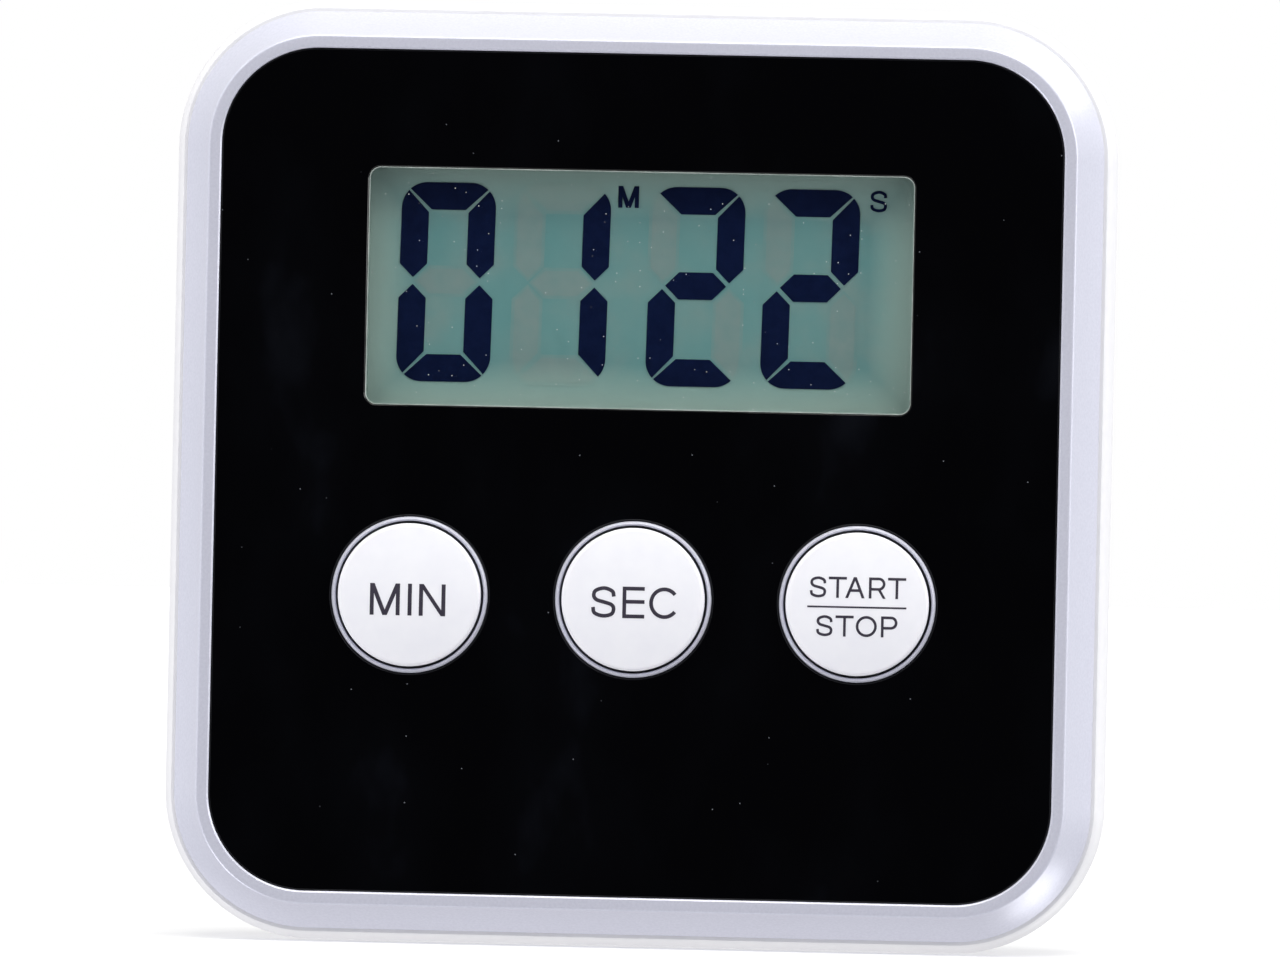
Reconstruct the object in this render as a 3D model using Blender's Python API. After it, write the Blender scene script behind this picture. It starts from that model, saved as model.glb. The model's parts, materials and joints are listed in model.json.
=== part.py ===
"""Square digital countdown timer, standing on its bottom edge and facing -Y.

All pieces hang from one empty at the centre of the face, in the plane of the front rim. In
their own space x runs to the right, y runs from the rim towards the back, z runs up, and
(0, 0, 0) is the middle of the face. Each profile is a list of (distance from centre, depth).
"""

import math

import bmesh
import bpy
from mathutils import Matrix, Vector

MM = 0.001

# The whole case
BODY = 65.0 * MM  # outside width and height
DEPTH = 18.0 * MM  # front rim to back
CORNER_CENTRE = 22.3 * MM  # every corner arc of the case turns about this point
CORNER_STEPS = 10  # straight runs in a quarter turn
CAP_PROUD = 0.9 * MM  # how far the button caps stand in front of the rim
GAP = 0.1 * MM  # play between neighbouring pieces
CLOSE = 0.05 * MM  # play between pieces that lie on each other
MERGE_DISTANCE = 0.0001 * MM

# Front case: rim, sloping bezel, recess for the face panel, skirt inside the rear case
PANEL_HALF = 28.95 * MM
RECESS_HALF = 29.0 * MM
RIM_HALF = 29.85 * MM
BEZEL_HALF = 31.7 * MM
BEZEL_DEPTH = 4.0 * MM
WEB_FRONT = 1.38 * MM
WEB_BACK = 2.48 * MM
SKIRT_INSIDE = 29.3 * MM
SKIRT_OUTSIDE = 30.3 * MM
SKIRT_END = 6.6 * MM

# Face panel, its adhesive and the window over the display
PANEL_FRONT = 0.13 * MM
PANEL_BACK = 1.13 * MM
WINDOW_CENTRE = 12.73 * MM
WINDOW_HALF_X = 18.78 * MM
WINDOW_HALF_Z = 8.19 * MM
WINDOW_CORNER = 0.8 * MM
APERTURE_HALF_X = 20.5 * MM
APERTURE_HALF_Z = 9.9 * MM

# Display cell behind the web
GLASS_HALF_X = 20.9 * MM
GLASS_TOP = 23.4 * MM
GLASS_BOTTOM = 0.9 * MM
REAR_GLASS_BOTTOM = 3.7 * MM
GLASS_THICK = 0.55 * MM
FILM_HALF_X = 19.5 * MM
FILM_HALF_Z = 8.8 * MM
FILM_THICK = 0.2 * MM
FRONT_GLASS = 2.58 * MM
HOLDER_HALF_X = 21.8 * MM
HOLDER_TOP = 24.3 * MM
HOLDER_BOTTOM = -0.1 * MM
ZEBRA_HALF_X = 19.0 * MM
ZEBRA_TOP = 3.2 * MM
ZEBRA_BOTTOM = 1.2 * MM

# Buttons
BUTTONS = {"min": -15.4 * MM, "sec": 0.0, "start_stop": 15.4 * MM}
BUTTON_Z = -8.5 * MM
CAP_RADIUS = 4.92 * MM
COLLAR_INSIDE = 5.09 * MM
COLLAR_OUTSIDE = 5.37 * MM
COLLAR_FRONT = -0.12 * MM
CAP_FLANGE_RADIUS = 5.75 * MM
CAP_FLANGE_FRONT = 2.73 * MM
CAP_BACK = 3.3 * MM
TRAVEL = 0.8 * MM
CAP_SIDES = 28

# Circuit board
BOARD_FRONT = 5.6 * MM
BOARD_THICK = 1.2 * MM
BOARD_HALF_X = 21.4 * MM
BOARD_TOP = 6.0 * MM
BOARD_BOTTOM = -19.0 * MM
BOARD_SCREW_PLACES = ((-19.4, -2.1), (19.4, -2.1), (-7.7, -16.7), (7.7, -16.7))  # in millimetres
BOARD_SCREWS = [(x * MM, z * MM) for x, z in BOARD_SCREW_PLACES]

# Rear case
COVER_FRONT = 4.15 * MM
COVER_FLOOR = 16.6 * MM
SCREW_X = 24.6 * MM
SCREW_Z = 25.1 * MM
COUNTERBORE_FLOOR = 10.2 * MM

# Battery bay, AAA cell and sliding door
BAY_Z = 15.4 * MM
BAY_HALF_X = 25.3 * MM
BAY_HALF_Z = 5.4 * MM
BAY_WALL = 1.0 * MM
BAY_FLOOR = 5.9 * MM
CELL_RADIUS = 5.2 * MM
CELL_LENGTH = 44.5 * MM
CELL_END = -21.0 * MM  # x of the flat end
DOOR_HALF = 6.1 * MM
TONGUE_HALF = 6.8 * MM
DOOR_LEFT = -26.55 * MM
DOOR_INSIDE = 16.6 * MM
TONGUE_TOP = 17.2 * MM
GROOVES = 5  # for the thumb, across the right end of the door
GROOVE_LEFT = 18.5 * MM
GROOVE_PITCH = 1.6 * MM
GROOVE_WIDTH = 0.6 * MM
GROOVE_DEPTH = 0.35 * MM
GROOVE_HALF = 3.5 * MM

# Kickstand
STAND_AXIS_Z = 4.9 * MM
STAND_AXIS_DEPTH = 16.9 * MM
STAND_HALF_X = 13.0 * MM
STAND_LENGTH = 28.8 * MM
STAND_HALF_THICK = 0.95 * MM
STAND_BORDER = 2.2 * MM  # the rim left round the shallow hollow in its outer face
STAND_HOLLOW_DEPTH = 0.4 * MM
STAND_HOLLOW_HALF_Z = 8.5 * MM
STAND_HOLLOW_Z = -12.0 * MM
TRUNNION_RADIUS = 0.72 * MM
STAND_RECESS_FLOOR = 15.75 * MM
NOTCH_HALF_X = 6.0 * MM

# Magnets and sounder
MAGNET_X = 22.0 * MM
MAGNET_Z = -12.5 * MM
MAGNET_RADIUS = 5.0 * MM
PIEZO_Z = -9.5 * MM
PIEZO_RADIUS = 10.0 * MM


# ---- tools --------------------------------------------------------------------------------


def clear_scene():
    for thing in list(bpy.data.objects):
        bpy.data.objects.remove(thing, do_unlink=True)


def finish(name, color, roughness, metallic=0.0, alpha=1.0):
    """A plain material."""
    material = bpy.data.materials.new(name)
    material.use_nodes = True
    shader = material.node_tree.nodes["Principled BSDF"]
    shader.inputs["Base Color"].default_value = (*color, 1.0)
    shader.inputs["Roughness"].default_value = roughness
    shader.inputs["Metallic"].default_value = metallic
    shader.inputs["Alpha"].default_value = alpha
    return material


def rounded_rectangle(half_x, half_z, radius, steps=CORNER_STEPS, centre=(0.0, 0.0)):
    """Outline points (x, z), counter-clockwise seen from -Y."""
    points = []
    for quarter, (side_x, side_z) in enumerate(((1, 1), (-1, 1), (-1, -1), (1, -1))):
        corner_x = centre[0] + side_x * (half_x - radius)
        corner_z = centre[1] + side_z * (half_z - radius)
        for step in range(steps + 1):
            angle = (quarter + step / steps) * math.pi / 2
            points.append((corner_x + radius * math.cos(angle), corner_z + radius * math.sin(angle)))
    return points


def rectangle(x_range, z_range):
    (left, right), (low, high) = x_range, z_range
    return [(right, high), (left, high), (left, low), (right, low)]


def circle(radius, steps, centre=(0.0, 0.0)):
    return [
        (
            centre[0] + radius * math.cos(2 * math.pi * step / steps),
            centre[1] + radius * math.sin(2 * math.pi * step / steps),
        )
        for step in range(steps)
    ]


def case_loop(half, depth):
    """One square section of the case, whose corners all turn about the same point."""
    outline = rounded_rectangle(half, half, half - CORNER_CENTRE)
    return [(x, depth, z) for x, z in outline]


def object_from(name, bm):
    """Turns a bmesh into an object with its faces pointing out."""
    bmesh.ops.recalc_face_normals(bm, faces=bm.faces)
    mesh = bpy.data.meshes.new(name)
    bm.to_mesh(mesh)
    bm.free()
    piece = bpy.data.objects.new(name, mesh)
    bpy.context.collection.objects.link(piece)
    return piece


def lofted(name, loops):
    """Joins loops with the same number of points, and fills the first and the last."""
    bm = bmesh.new()
    rows = [[bm.verts.new(point) for point in loop] for loop in loops]
    count = len(rows[0])
    for low, high in zip(rows, rows[1:]):
        for i in range(count):
            j = (i + 1) % count
            bm.faces.new((low[i], low[j], high[j], high[i]))
    bm.faces.new(rows[0])
    bm.faces.new(rows[-1])
    return object_from(name, bm)


def plate(name, outline, depths, holes=()):
    """A flat plate of one outline and its holes, between two depths."""
    bm = bmesh.new()
    edges = []
    for points in (outline, *holes):
        verts = [bm.verts.new((x, depths[0], z)) for x, z in points]
        edges += [bm.edges.new((verts[i - 1], verts[i])) for i in range(len(verts))]
    made = bmesh.ops.triangle_fill(bm, use_beauty=True, use_dissolve=False, edges=edges)
    faces = [item for item in made["geom"] if isinstance(item, bmesh.types.BMFace)]
    side = bmesh.ops.extrude_face_region(bm, geom=faces)
    moved = [item for item in side["geom"] if isinstance(item, bmesh.types.BMVert)]
    bmesh.ops.translate(bm, verts=moved, vec=(0, depths[1] - depths[0], 0))
    return object_from(name, bm)


def block(name, x_range, depths, z_range):
    return plate(name, rectangle(x_range, z_range), depths)


def turned(name, profile, steps, centre=(0.0, 0.0), closed=False):
    """Spins (radius, depth) points about an axis along Y through centre (x, z)."""
    bm = bmesh.new()
    verts = [bm.verts.new((radius, depth, 0)) for radius, depth in profile]
    edges = [bm.edges.new(pair) for pair in zip(verts, verts[1:])]
    if closed:
        edges.append(bm.edges.new((verts[-1], verts[0])))
    bmesh.ops.spin(
        bm,
        geom=verts + edges,
        cent=(0, 0, 0),
        axis=(0, 1, 0),
        angle=2 * math.pi,
        steps=steps,
        use_merge=True,
    )
    bmesh.ops.remove_doubles(bm, verts=bm.verts, dist=MERGE_DISTANCE)
    bmesh.ops.translate(bm, verts=bm.verts, vec=(centre[0], 0, centre[1]))
    return object_from(name, bm)


def rod(name, radius, depths, centre=(0.0, 0.0), steps=24):
    return plate(name, circle(radius, steps, centre), depths)


def tube_along(name, points, radius, sides=8):
    """A round tube swept through points, with flat ends."""
    bm = bmesh.new()
    rows = []
    across = Vector((0, 0, 1))
    for i, point in enumerate(points):
        ahead = points[min(i + 1, len(points) - 1)] - points[max(i - 1, 0)]
        ahead.normalize()
        across = (across - across.dot(ahead) * ahead).normalized()
        side = ahead.cross(across)
        rows.append(
            [
                bm.verts.new(point + radius * (math.cos(a) * across + math.sin(a) * side))
                for a in (2 * math.pi * k / sides for k in range(sides))
            ]
        )
    for low, high in zip(rows, rows[1:]):
        for k in range(sides):
            m = (k + 1) % sides
            bm.faces.new((low[k], low[m], high[m], high[k]))
    bm.faces.new(rows[0])
    bm.faces.new(rows[-1])
    return object_from(name, bm)


def combine(piece, others, operation):
    """Unites piece with the others, or cuts them from it, and removes them."""
    for other in others:
        modifier = piece.modifiers.new(other.name, "BOOLEAN")
        modifier.operation = operation
        modifier.object = other
    graph = bpy.context.evaluated_depsgraph_get()
    graph.update()
    mesh = bpy.data.meshes.new_from_object(piece.evaluated_get(graph))
    piece.modifiers.clear()
    piece.data = mesh
    mesh.name = piece.name
    for other in others:
        bpy.data.objects.remove(other, do_unlink=True)
    return piece


def unite(piece, *others):
    return combine(piece, others, "UNION")


def cut(piece, *others):
    return combine(piece, others, "DIFFERENCE")


def smooth_route(points, steps=4):
    """Points of a Catmull-Rom curve through the given points."""
    points = [Vector(point) for point in points]
    ends = [2 * points[0] - points[1], *points, 2 * points[-1] - points[-2]]
    route = []
    for a, b, c, d in zip(ends, ends[1:], ends[2:], ends[3:]):
        square = 2 * a - 5 * b + 4 * c - d
        cube = 3 * b - a - 3 * c + d
        for step in range(steps):
            t = step / steps
            route.append(0.5 * (2 * b + (c - a) * t + square * t**2 + cube * t**3))
    return [*route, points[-1]]


def settle(piece, material, origin=(0.0, 0.0, 0.0)):
    """Gives a piece its material and shading, and moves its origin."""
    piece.data.transform(Matrix.Translation(-Vector(origin)))
    piece.location = origin
    piece.data.materials.clear()
    piece.data.materials.append(material)
    piece.data.shade_smooth()
    piece.data.set_sharp_from_angle(angle=math.radians(28))
    piece.parent = FACE
    return piece


# ---- casing -------------------------------------------------------------------------------

FRONT_PROFILE = [
    (RECESS_HALF, WEB_FRONT),
    (RECESS_HALF, 0.12 * MM),
    (RECESS_HALF + 0.12 * MM, 0.0),
    (RIM_HALF - 0.13 * MM, 0.0),
    (RIM_HALF, 0.05 * MM),
    (RIM_HALF + 0.1 * MM, 0.18 * MM),
    (BEZEL_HALF - 0.04 * MM, BEZEL_DEPTH - 0.2 * MM),
    (BEZEL_HALF - 0.06 * MM, BEZEL_DEPTH),
    (SKIRT_OUTSIDE, BEZEL_DEPTH),
    (SKIRT_OUTSIDE - 0.05 * MM, SKIRT_END),
    (SKIRT_INSIDE, SKIRT_END),
    (SKIRT_INSIDE, WEB_BACK),
]

REAR_OUTSIDE = [
    (31.92 * MM, COVER_FRONT),
    (32.16 * MM, 4.5 * MM),
    (32.38 * MM, 5.3 * MM),
    (BODY / 2, 6.5 * MM),
    (BODY / 2, 13.0 * MM),
    (32.3 * MM, 14.3 * MM),
    (31.75 * MM, 15.6 * MM),
    (30.95 * MM, 16.7 * MM),
    (30.0 * MM, 17.55 * MM),
    (29.0 * MM, DEPTH),
]

REAR_INSIDE = [
    (28.6 * MM, COVER_FLOOR),
    (29.6 * MM, 15.6 * MM),
    (30.7 * MM, 13.4 * MM),
    (30.6 * MM, COVER_FRONT),
]

CORNERS = [(side_x * SCREW_X, side_z * SCREW_Z) for side_x in (-1, 1) for side_z in (-1, 1)]


def collar(centre):
    """The ring round a button. It stands in its hole in the face panel."""
    fillet = 0.09 * MM
    back = WEB_BACK + 0.15 * MM
    profile = [
        (COLLAR_OUTSIDE, back),
        (COLLAR_OUTSIDE, COLLAR_FRONT + fillet),
        (COLLAR_OUTSIDE - fillet, COLLAR_FRONT),
        (COLLAR_INSIDE + fillet / 2, COLLAR_FRONT),
        (COLLAR_INSIDE, COLLAR_FRONT + fillet),
        (COLLAR_INSIDE, back),
    ]
    return turned("collar", profile, CAP_SIDES, centre, closed=True)


def front_case(material):
    piece = lofted("front_case", [case_loop(*point) for point in FRONT_PROFILE])
    aperture = plate(
        "aperture",
        rounded_rectangle(APERTURE_HALF_X, APERTURE_HALF_Z, 1.2 * MM, 3, (0, WINDOW_CENTRE)),
        (0.5 * MM, 3.5 * MM),
    )
    # The openings in the web are a little wider than the collars' bores, inside their walls.
    middle = (COLLAR_INSIDE + COLLAR_OUTSIDE) / 2
    openings = [rod("opening", middle, (0.5 * MM, 3.5 * MM), (x, BUTTON_Z), 20) for x in BUTTONS.values()]
    cut(piece, aperture, *openings)
    case_posts = [rod("post", 2.6 * MM, (WEB_BACK - 0.3 * MM, 8.1 * MM), spot, 16) for spot in CORNERS]
    board_posts = [
        rod("post", 1.6 * MM, (WEB_BACK - 0.3 * MM, BOARD_FRONT - GAP), spot, 12) for spot in BOARD_SCREWS
    ]
    unite(piece, *[collar((x, BUTTON_Z)) for x in BUTTONS.values()], *case_posts, *board_posts)
    case_pilots = [rod("pilot", 1.05 * MM, (3.2 * MM, 9.0 * MM), spot, 10) for spot in CORNERS]
    board_pilots = [rod("pilot", 0.85 * MM, (2.9 * MM, 6.5 * MM), spot, 8) for spot in BOARD_SCREWS]
    cut(piece, *case_pilots, *board_pilots)
    return settle(piece, material)


def stand_recess():
    """The shapes that are taken from the back for the kickstand and a fingertip."""
    half = STAND_HALF_X + 0.4 * MM
    bottom = STAND_AXIS_Z - STAND_LENGTH - 0.3 * MM
    recess = block(
        "recess", (-half, half), (STAND_RECESS_FLOOR, DEPTH + 1 * MM), (bottom, STAND_AXIS_Z + 1.6 * MM)
    )
    notch = plate(
        "notch",
        rounded_rectangle(NOTCH_HALF_X, 3.4 * MM, 2.0 * MM, 5, (0, bottom - 1.4 * MM)),
        (STAND_RECESS_FLOOR + 0.02 * MM, DEPTH + 1 * MM),
    )
    pins = [
        plate("hole", circle(TRUNNION_RADIUS + 0.08 * MM, 16), (side * 12.5 * MM, side * 14.6 * MM))
        for side in (-1, 1)
    ]
    for pin in pins:
        pin.data.transform(Matrix.Rotation(math.pi / 2, 4, "Z"))
        pin.data.transform(Matrix.Translation((0, STAND_AXIS_DEPTH, STAND_AXIS_Z)))
    return [recess, notch, *pins]


def door_channel():
    """The shapes that are taken from the back for the sliding door: a T-slot open at the right."""
    x_range = (DOOR_LEFT - 0.15 * MM, BODY)
    wide = TONGUE_HALF + GAP
    narrow = DOOR_HALF + GAP
    return [
        block("slot", x_range, (DOOR_INSIDE - GAP, TONGUE_TOP + GAP), (BAY_Z - wide, BAY_Z + wide)),
        block("mouth", x_range, (DOOR_INSIDE, DEPTH + 1 * MM), (BAY_Z - narrow, BAY_Z + narrow)),
    ]


def sounder_ring():
    """A stepped ring that the sounder's disc sits in."""
    floor = 14.8 * MM
    return turned(
        "ring",
        [
            (PIEZO_RADIUS + 1.2 * MM, floor),
            (PIEZO_RADIUS + 1.2 * MM, 12.8 * MM),
            (PIEZO_RADIUS + 0.2 * MM, 12.8 * MM),
            (PIEZO_RADIUS + 0.2 * MM, 13.9 * MM),
            (PIEZO_RADIUS - 0.9 * MM, 13.9 * MM),
            (PIEZO_RADIUS - 0.9 * MM, floor),
        ],
        24,
        (0, PIEZO_Z),
        closed=True,
    )


def back_cover(material):
    piece = lofted("back_cover", [case_loop(*point) for point in REAR_INSIDE + REAR_OUTSIDE])
    under = 14.6 * MM
    into = 17.0 * MM
    bay_x = BAY_HALF_X + BAY_WALL
    bay_z = BAY_HALF_Z + BAY_WALL
    pads = [
        block("stand_pad", (-16 * MM, 16 * MM), (under, into), (-30 * MM, 8 * MM)),
        block("door_pad", (-27.9 * MM, 30 * MM), (15.4 * MM, into), (BAY_Z - 8.1 * MM, BAY_Z + 8.1 * MM)),
        block("bay", (-bay_x, bay_x), (BAY_FLOOR - 0.7 * MM, into), (BAY_Z - bay_z, BAY_Z + bay_z)),
        sounder_ring(),
    ]
    pads += [rod("pad", 6.3 * MM, (under, into), (side * MAGNET_X, MAGNET_Z), 20) for side in (-1, 1)]
    pads += [rod("boss", 2.9 * MM, (8.3 * MM, into), spot, 16) for spot in CORNERS]
    unite(piece, *pads)
    beyond = DEPTH + 1 * MM
    pockets = [
        block(
            "bay",
            (-BAY_HALF_X, BAY_HALF_X),
            (BAY_FLOOR, beyond),
            (BAY_Z - BAY_HALF_Z, BAY_Z + BAY_HALF_Z),
        )
    ]
    pockets += stand_recess() + door_channel()
    pockets += [
        rod("pocket", MAGNET_RADIUS + 0.15 * MM, (15.7 * MM, beyond), (side * MAGNET_X, MAGNET_Z), 36)
        for side in (-1, 1)
    ]
    pockets += [rod("counterbore", 2.2 * MM, (COUNTERBORE_FLOOR, beyond), spot) for spot in CORNERS]
    clear_hole = (8.0 * MM, COUNTERBORE_FLOOR + 0.3 * MM)
    pockets += [rod("clear_hole", 1.2 * MM, clear_hole, spot, 12) for spot in CORNERS]
    pockets += [
        block(
            "contact_slot",
            (x - 0.45 * MM, x + 0.45 * MM),
            (8.8 * MM, 11.4 * MM),
            (BAY_Z - bay_z - 1 * MM, BAY_Z - BAY_HALF_Z + 1 * MM),
        )
        for x in (-24.85 * MM, 24.35 * MM)
    ]
    pockets += [rod("sound_hole", 0.75 * MM, (14.0 * MM, 16.5 * MM), spot, 10) for spot in sound_holes()]
    cut(piece, *pockets)
    return settle(piece, material)


def sound_holes():
    """One hole in the middle and six round it."""
    spots = [(0.0, PIEZO_Z)]
    for turn in range(6):
        angle = turn * math.pi / 3
        spots.append((3.4 * MM * math.cos(angle), PIEZO_Z + 3.4 * MM * math.sin(angle)))
    return spots


# ---- face and display -----------------------------------------------------------------------


def window_outline(play=0.0):
    return rounded_rectangle(
        WINDOW_HALF_X - play, WINDOW_HALF_Z - play, WINDOW_CORNER, 5, (0, WINDOW_CENTRE)
    )


def face_panel(material):
    outline = rounded_rectangle(PANEL_HALF, PANEL_HALF, PANEL_HALF - CORNER_CENTRE)
    holes = [window_outline()]
    bore = COLLAR_OUTSIDE + 0.08 * MM
    holes += [circle(bore, CAP_SIDES, (x, BUTTON_Z)) for x in BUTTONS.values()]
    return settle(plate("face_panel", outline, (PANEL_FRONT, PANEL_BACK), holes), material)


def panel_adhesive(material):
    half = PANEL_HALF - 0.6 * MM
    outline = rounded_rectangle(half, half, half - CORNER_CENTRE, 6)
    holes = [
        rounded_rectangle(APERTURE_HALF_X, APERTURE_HALF_Z, 1.2 * MM, 3, (0, WINDOW_CENTRE)),
        *[circle(COLLAR_OUTSIDE + 0.5 * MM, 16, (x, BUTTON_Z)) for x in BUTTONS.values()],
    ]
    return settle(plate("panel_adhesive", outline, (1.18 * MM, 1.33 * MM), holes), material)


def lcd_window(material):
    """A clear step-edged window: its boss fills the panel's opening, its flange sits behind."""
    flange = plate(
        "lcd_window",
        rounded_rectangle(
            APERTURE_HALF_X - 0.3 * MM, APERTURE_HALF_Z - 0.3 * MM, 1.0 * MM, 3, (0, WINDOW_CENTRE)
        ),
        (PANEL_BACK + 0.1 * MM, 2.2 * MM),
    )
    boss = plate("boss", window_outline(0.06 * MM), (PANEL_FRONT + 0.15 * MM, 1.7 * MM))
    return settle(unite(flange, boss), material)


def film(name, front, material):
    outline = rectangle(
        (-FILM_HALF_X, FILM_HALF_X), (WINDOW_CENTRE - FILM_HALF_Z, WINDOW_CENTRE + FILM_HALF_Z)
    )
    return settle(plate(name, outline, (front, front + FILM_THICK)), material)


def lcd_cell(glass, polariser, reflector):
    """Two films and two glasses. The front glass is longer, and its ledge carries the contacts."""
    front_back = FRONT_GLASS + GLASS_THICK
    rear = front_back + CLOSE
    rear_back = rear + GLASS_THICK
    film("lcd_front_polariser", FRONT_GLASS - CLOSE - FILM_THICK, polariser)
    wide = (-GLASS_HALF_X, GLASS_HALF_X)
    settle(block("lcd_front_glass", wide, (FRONT_GLASS, front_back), (GLASS_BOTTOM, GLASS_TOP)), glass)
    settle(block("lcd_rear_glass", wide, (rear, rear_back), (REAR_GLASS_BOTTOM, GLASS_TOP)), glass)
    film("lcd_rear_polariser", rear_back + CLOSE, reflector)


def lcd_holder(material):
    """A frame round the glass, with a ledge behind it and a slot for the zebra strip."""
    ledge_front = 4.05 * MM
    ledge_back = 4.95 * MM
    tower_half_x = 20.6 * MM
    tower_top = 4.1 * MM
    outside = rectangle((-HOLDER_HALF_X, HOLDER_HALF_X), (HOLDER_BOTTOM, HOLDER_TOP))
    inside = rectangle(
        (-GLASS_HALF_X - GAP, GLASS_HALF_X + GAP), (GLASS_BOTTOM - GAP, GLASS_TOP + GAP)
    )
    # The ledge is open behind the middle of the rear film.
    film_hole = rectangle(
        (-FILM_HALF_X - 0.3 * MM, FILM_HALF_X + 0.3 * MM),
        (WINDOW_CENTRE - FILM_HALF_Z + 0.3 * MM, WINDOW_CENTRE + FILM_HALF_Z + 0.2 * MM),
    )
    slot = rectangle(
        (-ZEBRA_HALF_X - 0.4 * MM, ZEBRA_HALF_X + 0.4 * MM),
        (ZEBRA_BOTTOM - 0.2 * MM, ZEBRA_TOP + 0.2 * MM),
    )
    tower_outside = rectangle((-tower_half_x, tower_half_x), (HOLDER_BOTTOM, tower_top))
    wall = plate("lcd_holder", outside, (WEB_BACK + GAP, ledge_front + 0.25 * MM), [inside])
    ledge = plate("ledge", outside, (ledge_front, ledge_back), [film_hole, slot])
    tower = plate("tower", tower_outside, (ledge_back - 0.35 * MM, BOARD_FRONT - GAP), [slot])
    return settle(unite(wall, ledge, tower), material)


# ---- buttons --------------------------------------------------------------------------------


def button_profile():
    """Half section of a cap: a shallow dome, a straight side, a flange and a hollow back."""
    dome_height = 0.42 * MM
    fillet = 0.3 * MM
    rise = CAP_RADIUS - fillet
    points = [(0.0, -CAP_PROUD)]
    for step in range(1, 4):
        part = step / 3
        points.append((rise * part, -CAP_PROUD + dome_height * part**2))
    edge = points[-1][1]
    for step in range(1, 3):
        angle = step / 2 * math.pi / 2
        points.append((rise + fillet * math.sin(angle), edge + fillet * (1 - math.cos(angle))))
    points += [
        (CAP_RADIUS, CAP_FLANGE_FRONT),
        (CAP_FLANGE_RADIUS, CAP_FLANGE_FRONT),
        (CAP_FLANGE_RADIUS, CAP_BACK),
        (3.9 * MM, CAP_BACK),
        (3.8 * MM, 0.6 * MM),
        (2.2 * MM, 0.6 * MM),
        (2.2 * MM, CAP_BACK + GAP),
        (0.0, CAP_BACK + GAP),
    ]
    return points


def buttons(cap_material, dome_material, pill_material):
    dome_top = CAP_BACK + 0.2 * MM
    board = BOARD_FRONT - GAP
    for label, x in BUTTONS.items():
        spot = (x, BUTTON_Z)
        origin = (x, 0, BUTTON_Z)
        settle(turned(f"button_{label}", button_profile(), CAP_SIDES, spot), cap_material, origin)
        dome = turned(
            f"dome_{label}",
            [
                (0.0, dome_top),
                (2.4 * MM, dome_top),
                (2.7 * MM, dome_top + 0.3 * MM),
                (3.9 * MM, board - 0.5 * MM),
                (5.2 * MM, board - 0.4 * MM),
                (5.2 * MM, board),
                (3.9 * MM, board),
                (3.3 * MM, board - 0.4 * MM),
                (2.1 * MM, dome_top + 0.6 * MM),
                (0.0, dome_top + 0.6 * MM),
            ],
            16,
            spot,
        )
        settle(dome, dome_material, origin)
        pill = rod(f"pill_{label}", 1.5 * MM, (dome_top + 0.65 * MM, board - TRAVEL - 0.02 * MM), spot, 12)
        settle(pill, pill_material, origin)


# ---- circuit board --------------------------------------------------------------------------


def circuit_board(material):
    outline = rectangle((-BOARD_HALF_X, BOARD_HALF_X), (BOARD_BOTTOM, BOARD_TOP))
    holes = [circle(0.95 * MM, 16, spot) for spot in BOARD_SCREWS]
    board = plate("circuit_board", outline, (BOARD_FRONT, BOARD_FRONT + BOARD_THICK), holes)
    return settle(board, material)


def board_parts(epoxy, tin, ceramic, black):
    """The parts soldered to the back of the board."""
    back = BOARD_FRONT + BOARD_THICK + CLOSE
    blob = turned(
        "chip_blob",
        [
            (0.0, back + 1.3 * MM),
            (2.0 * MM, back + 1.15 * MM),
            (3.4 * MM, back + 0.7 * MM),
            (4.2 * MM, back),
            (0.0, back),
        ],
        20,
        (-3.5 * MM, -6.5 * MM),
    )
    settle(blob, epoxy)
    crystal = plate("crystal", circle(1.0 * MM, 16), (0.0, 6.0 * MM))
    crystal.data.transform(Matrix.Rotation(math.pi / 2, 4, "Z"))
    crystal.data.transform(Matrix.Translation((13.0 * MM, back + 1.05 * MM, -1.0 * MM)))
    settle(crystal, tin)
    for number, x in enumerate((3.6 * MM, 6.4 * MM), 1):
        chip = block(
            f"capacitor_{number}", (x, x + 1.2 * MM), (back, back + 0.8 * MM), (-9.0 * MM, -7.0 * MM)
        )
        settle(chip, ceramic)
    resistor = block("resistor", (3.6 * MM, 4.8 * MM), (back, back + 0.5 * MM), (-4.6 * MM, -2.6 * MM))
    settle(resistor, black)


def zebra_strip(material):
    strip = block(
        "zebra_strip",
        (-ZEBRA_HALF_X, ZEBRA_HALF_X),
        (FRONT_GLASS + GLASS_THICK + CLOSE, BOARD_FRONT - CLOSE),
        (ZEBRA_BOTTOM, ZEBRA_TOP),
    )
    return settle(strip, material)


# ---- sounder, battery and contacts ------------------------------------------------------------


def sounder(brass, ceramic):
    spot = (0, PIEZO_Z)
    settle(rod("piezo_brass_disc", PIEZO_RADIUS, (13.6 * MM, 13.85 * MM), spot, 32), brass)
    settle(rod("piezo_ceramic_disc", 7.0 * MM, (13.35 * MM, 13.55 * MM), spot, 24), ceramic)


def battery_cell(material):
    """AAA cell lying along X, its nub to the right."""
    nub = 0.8 * MM
    bevel = 0.4 * MM
    end = CELL_LENGTH - nub
    profile = [
        (0.0, 0.0),
        (CELL_RADIUS - bevel, 0.0),
        (CELL_RADIUS, bevel),
        (CELL_RADIUS, end - bevel),
        (CELL_RADIUS - bevel, end),
        (1.9 * MM, end),
        (1.8 * MM, CELL_LENGTH),
        (0.0, CELL_LENGTH),
    ]
    cell = turned("battery_cell", profile, 28)
    cell.data.transform(Matrix.Rotation(-math.pi / 2, 4, "Z"))
    cell.data.transform(Matrix.Translation((CELL_END, BAY_FLOOR + CELL_RADIUS + GAP, BAY_Z)))
    return settle(cell, material)


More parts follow.
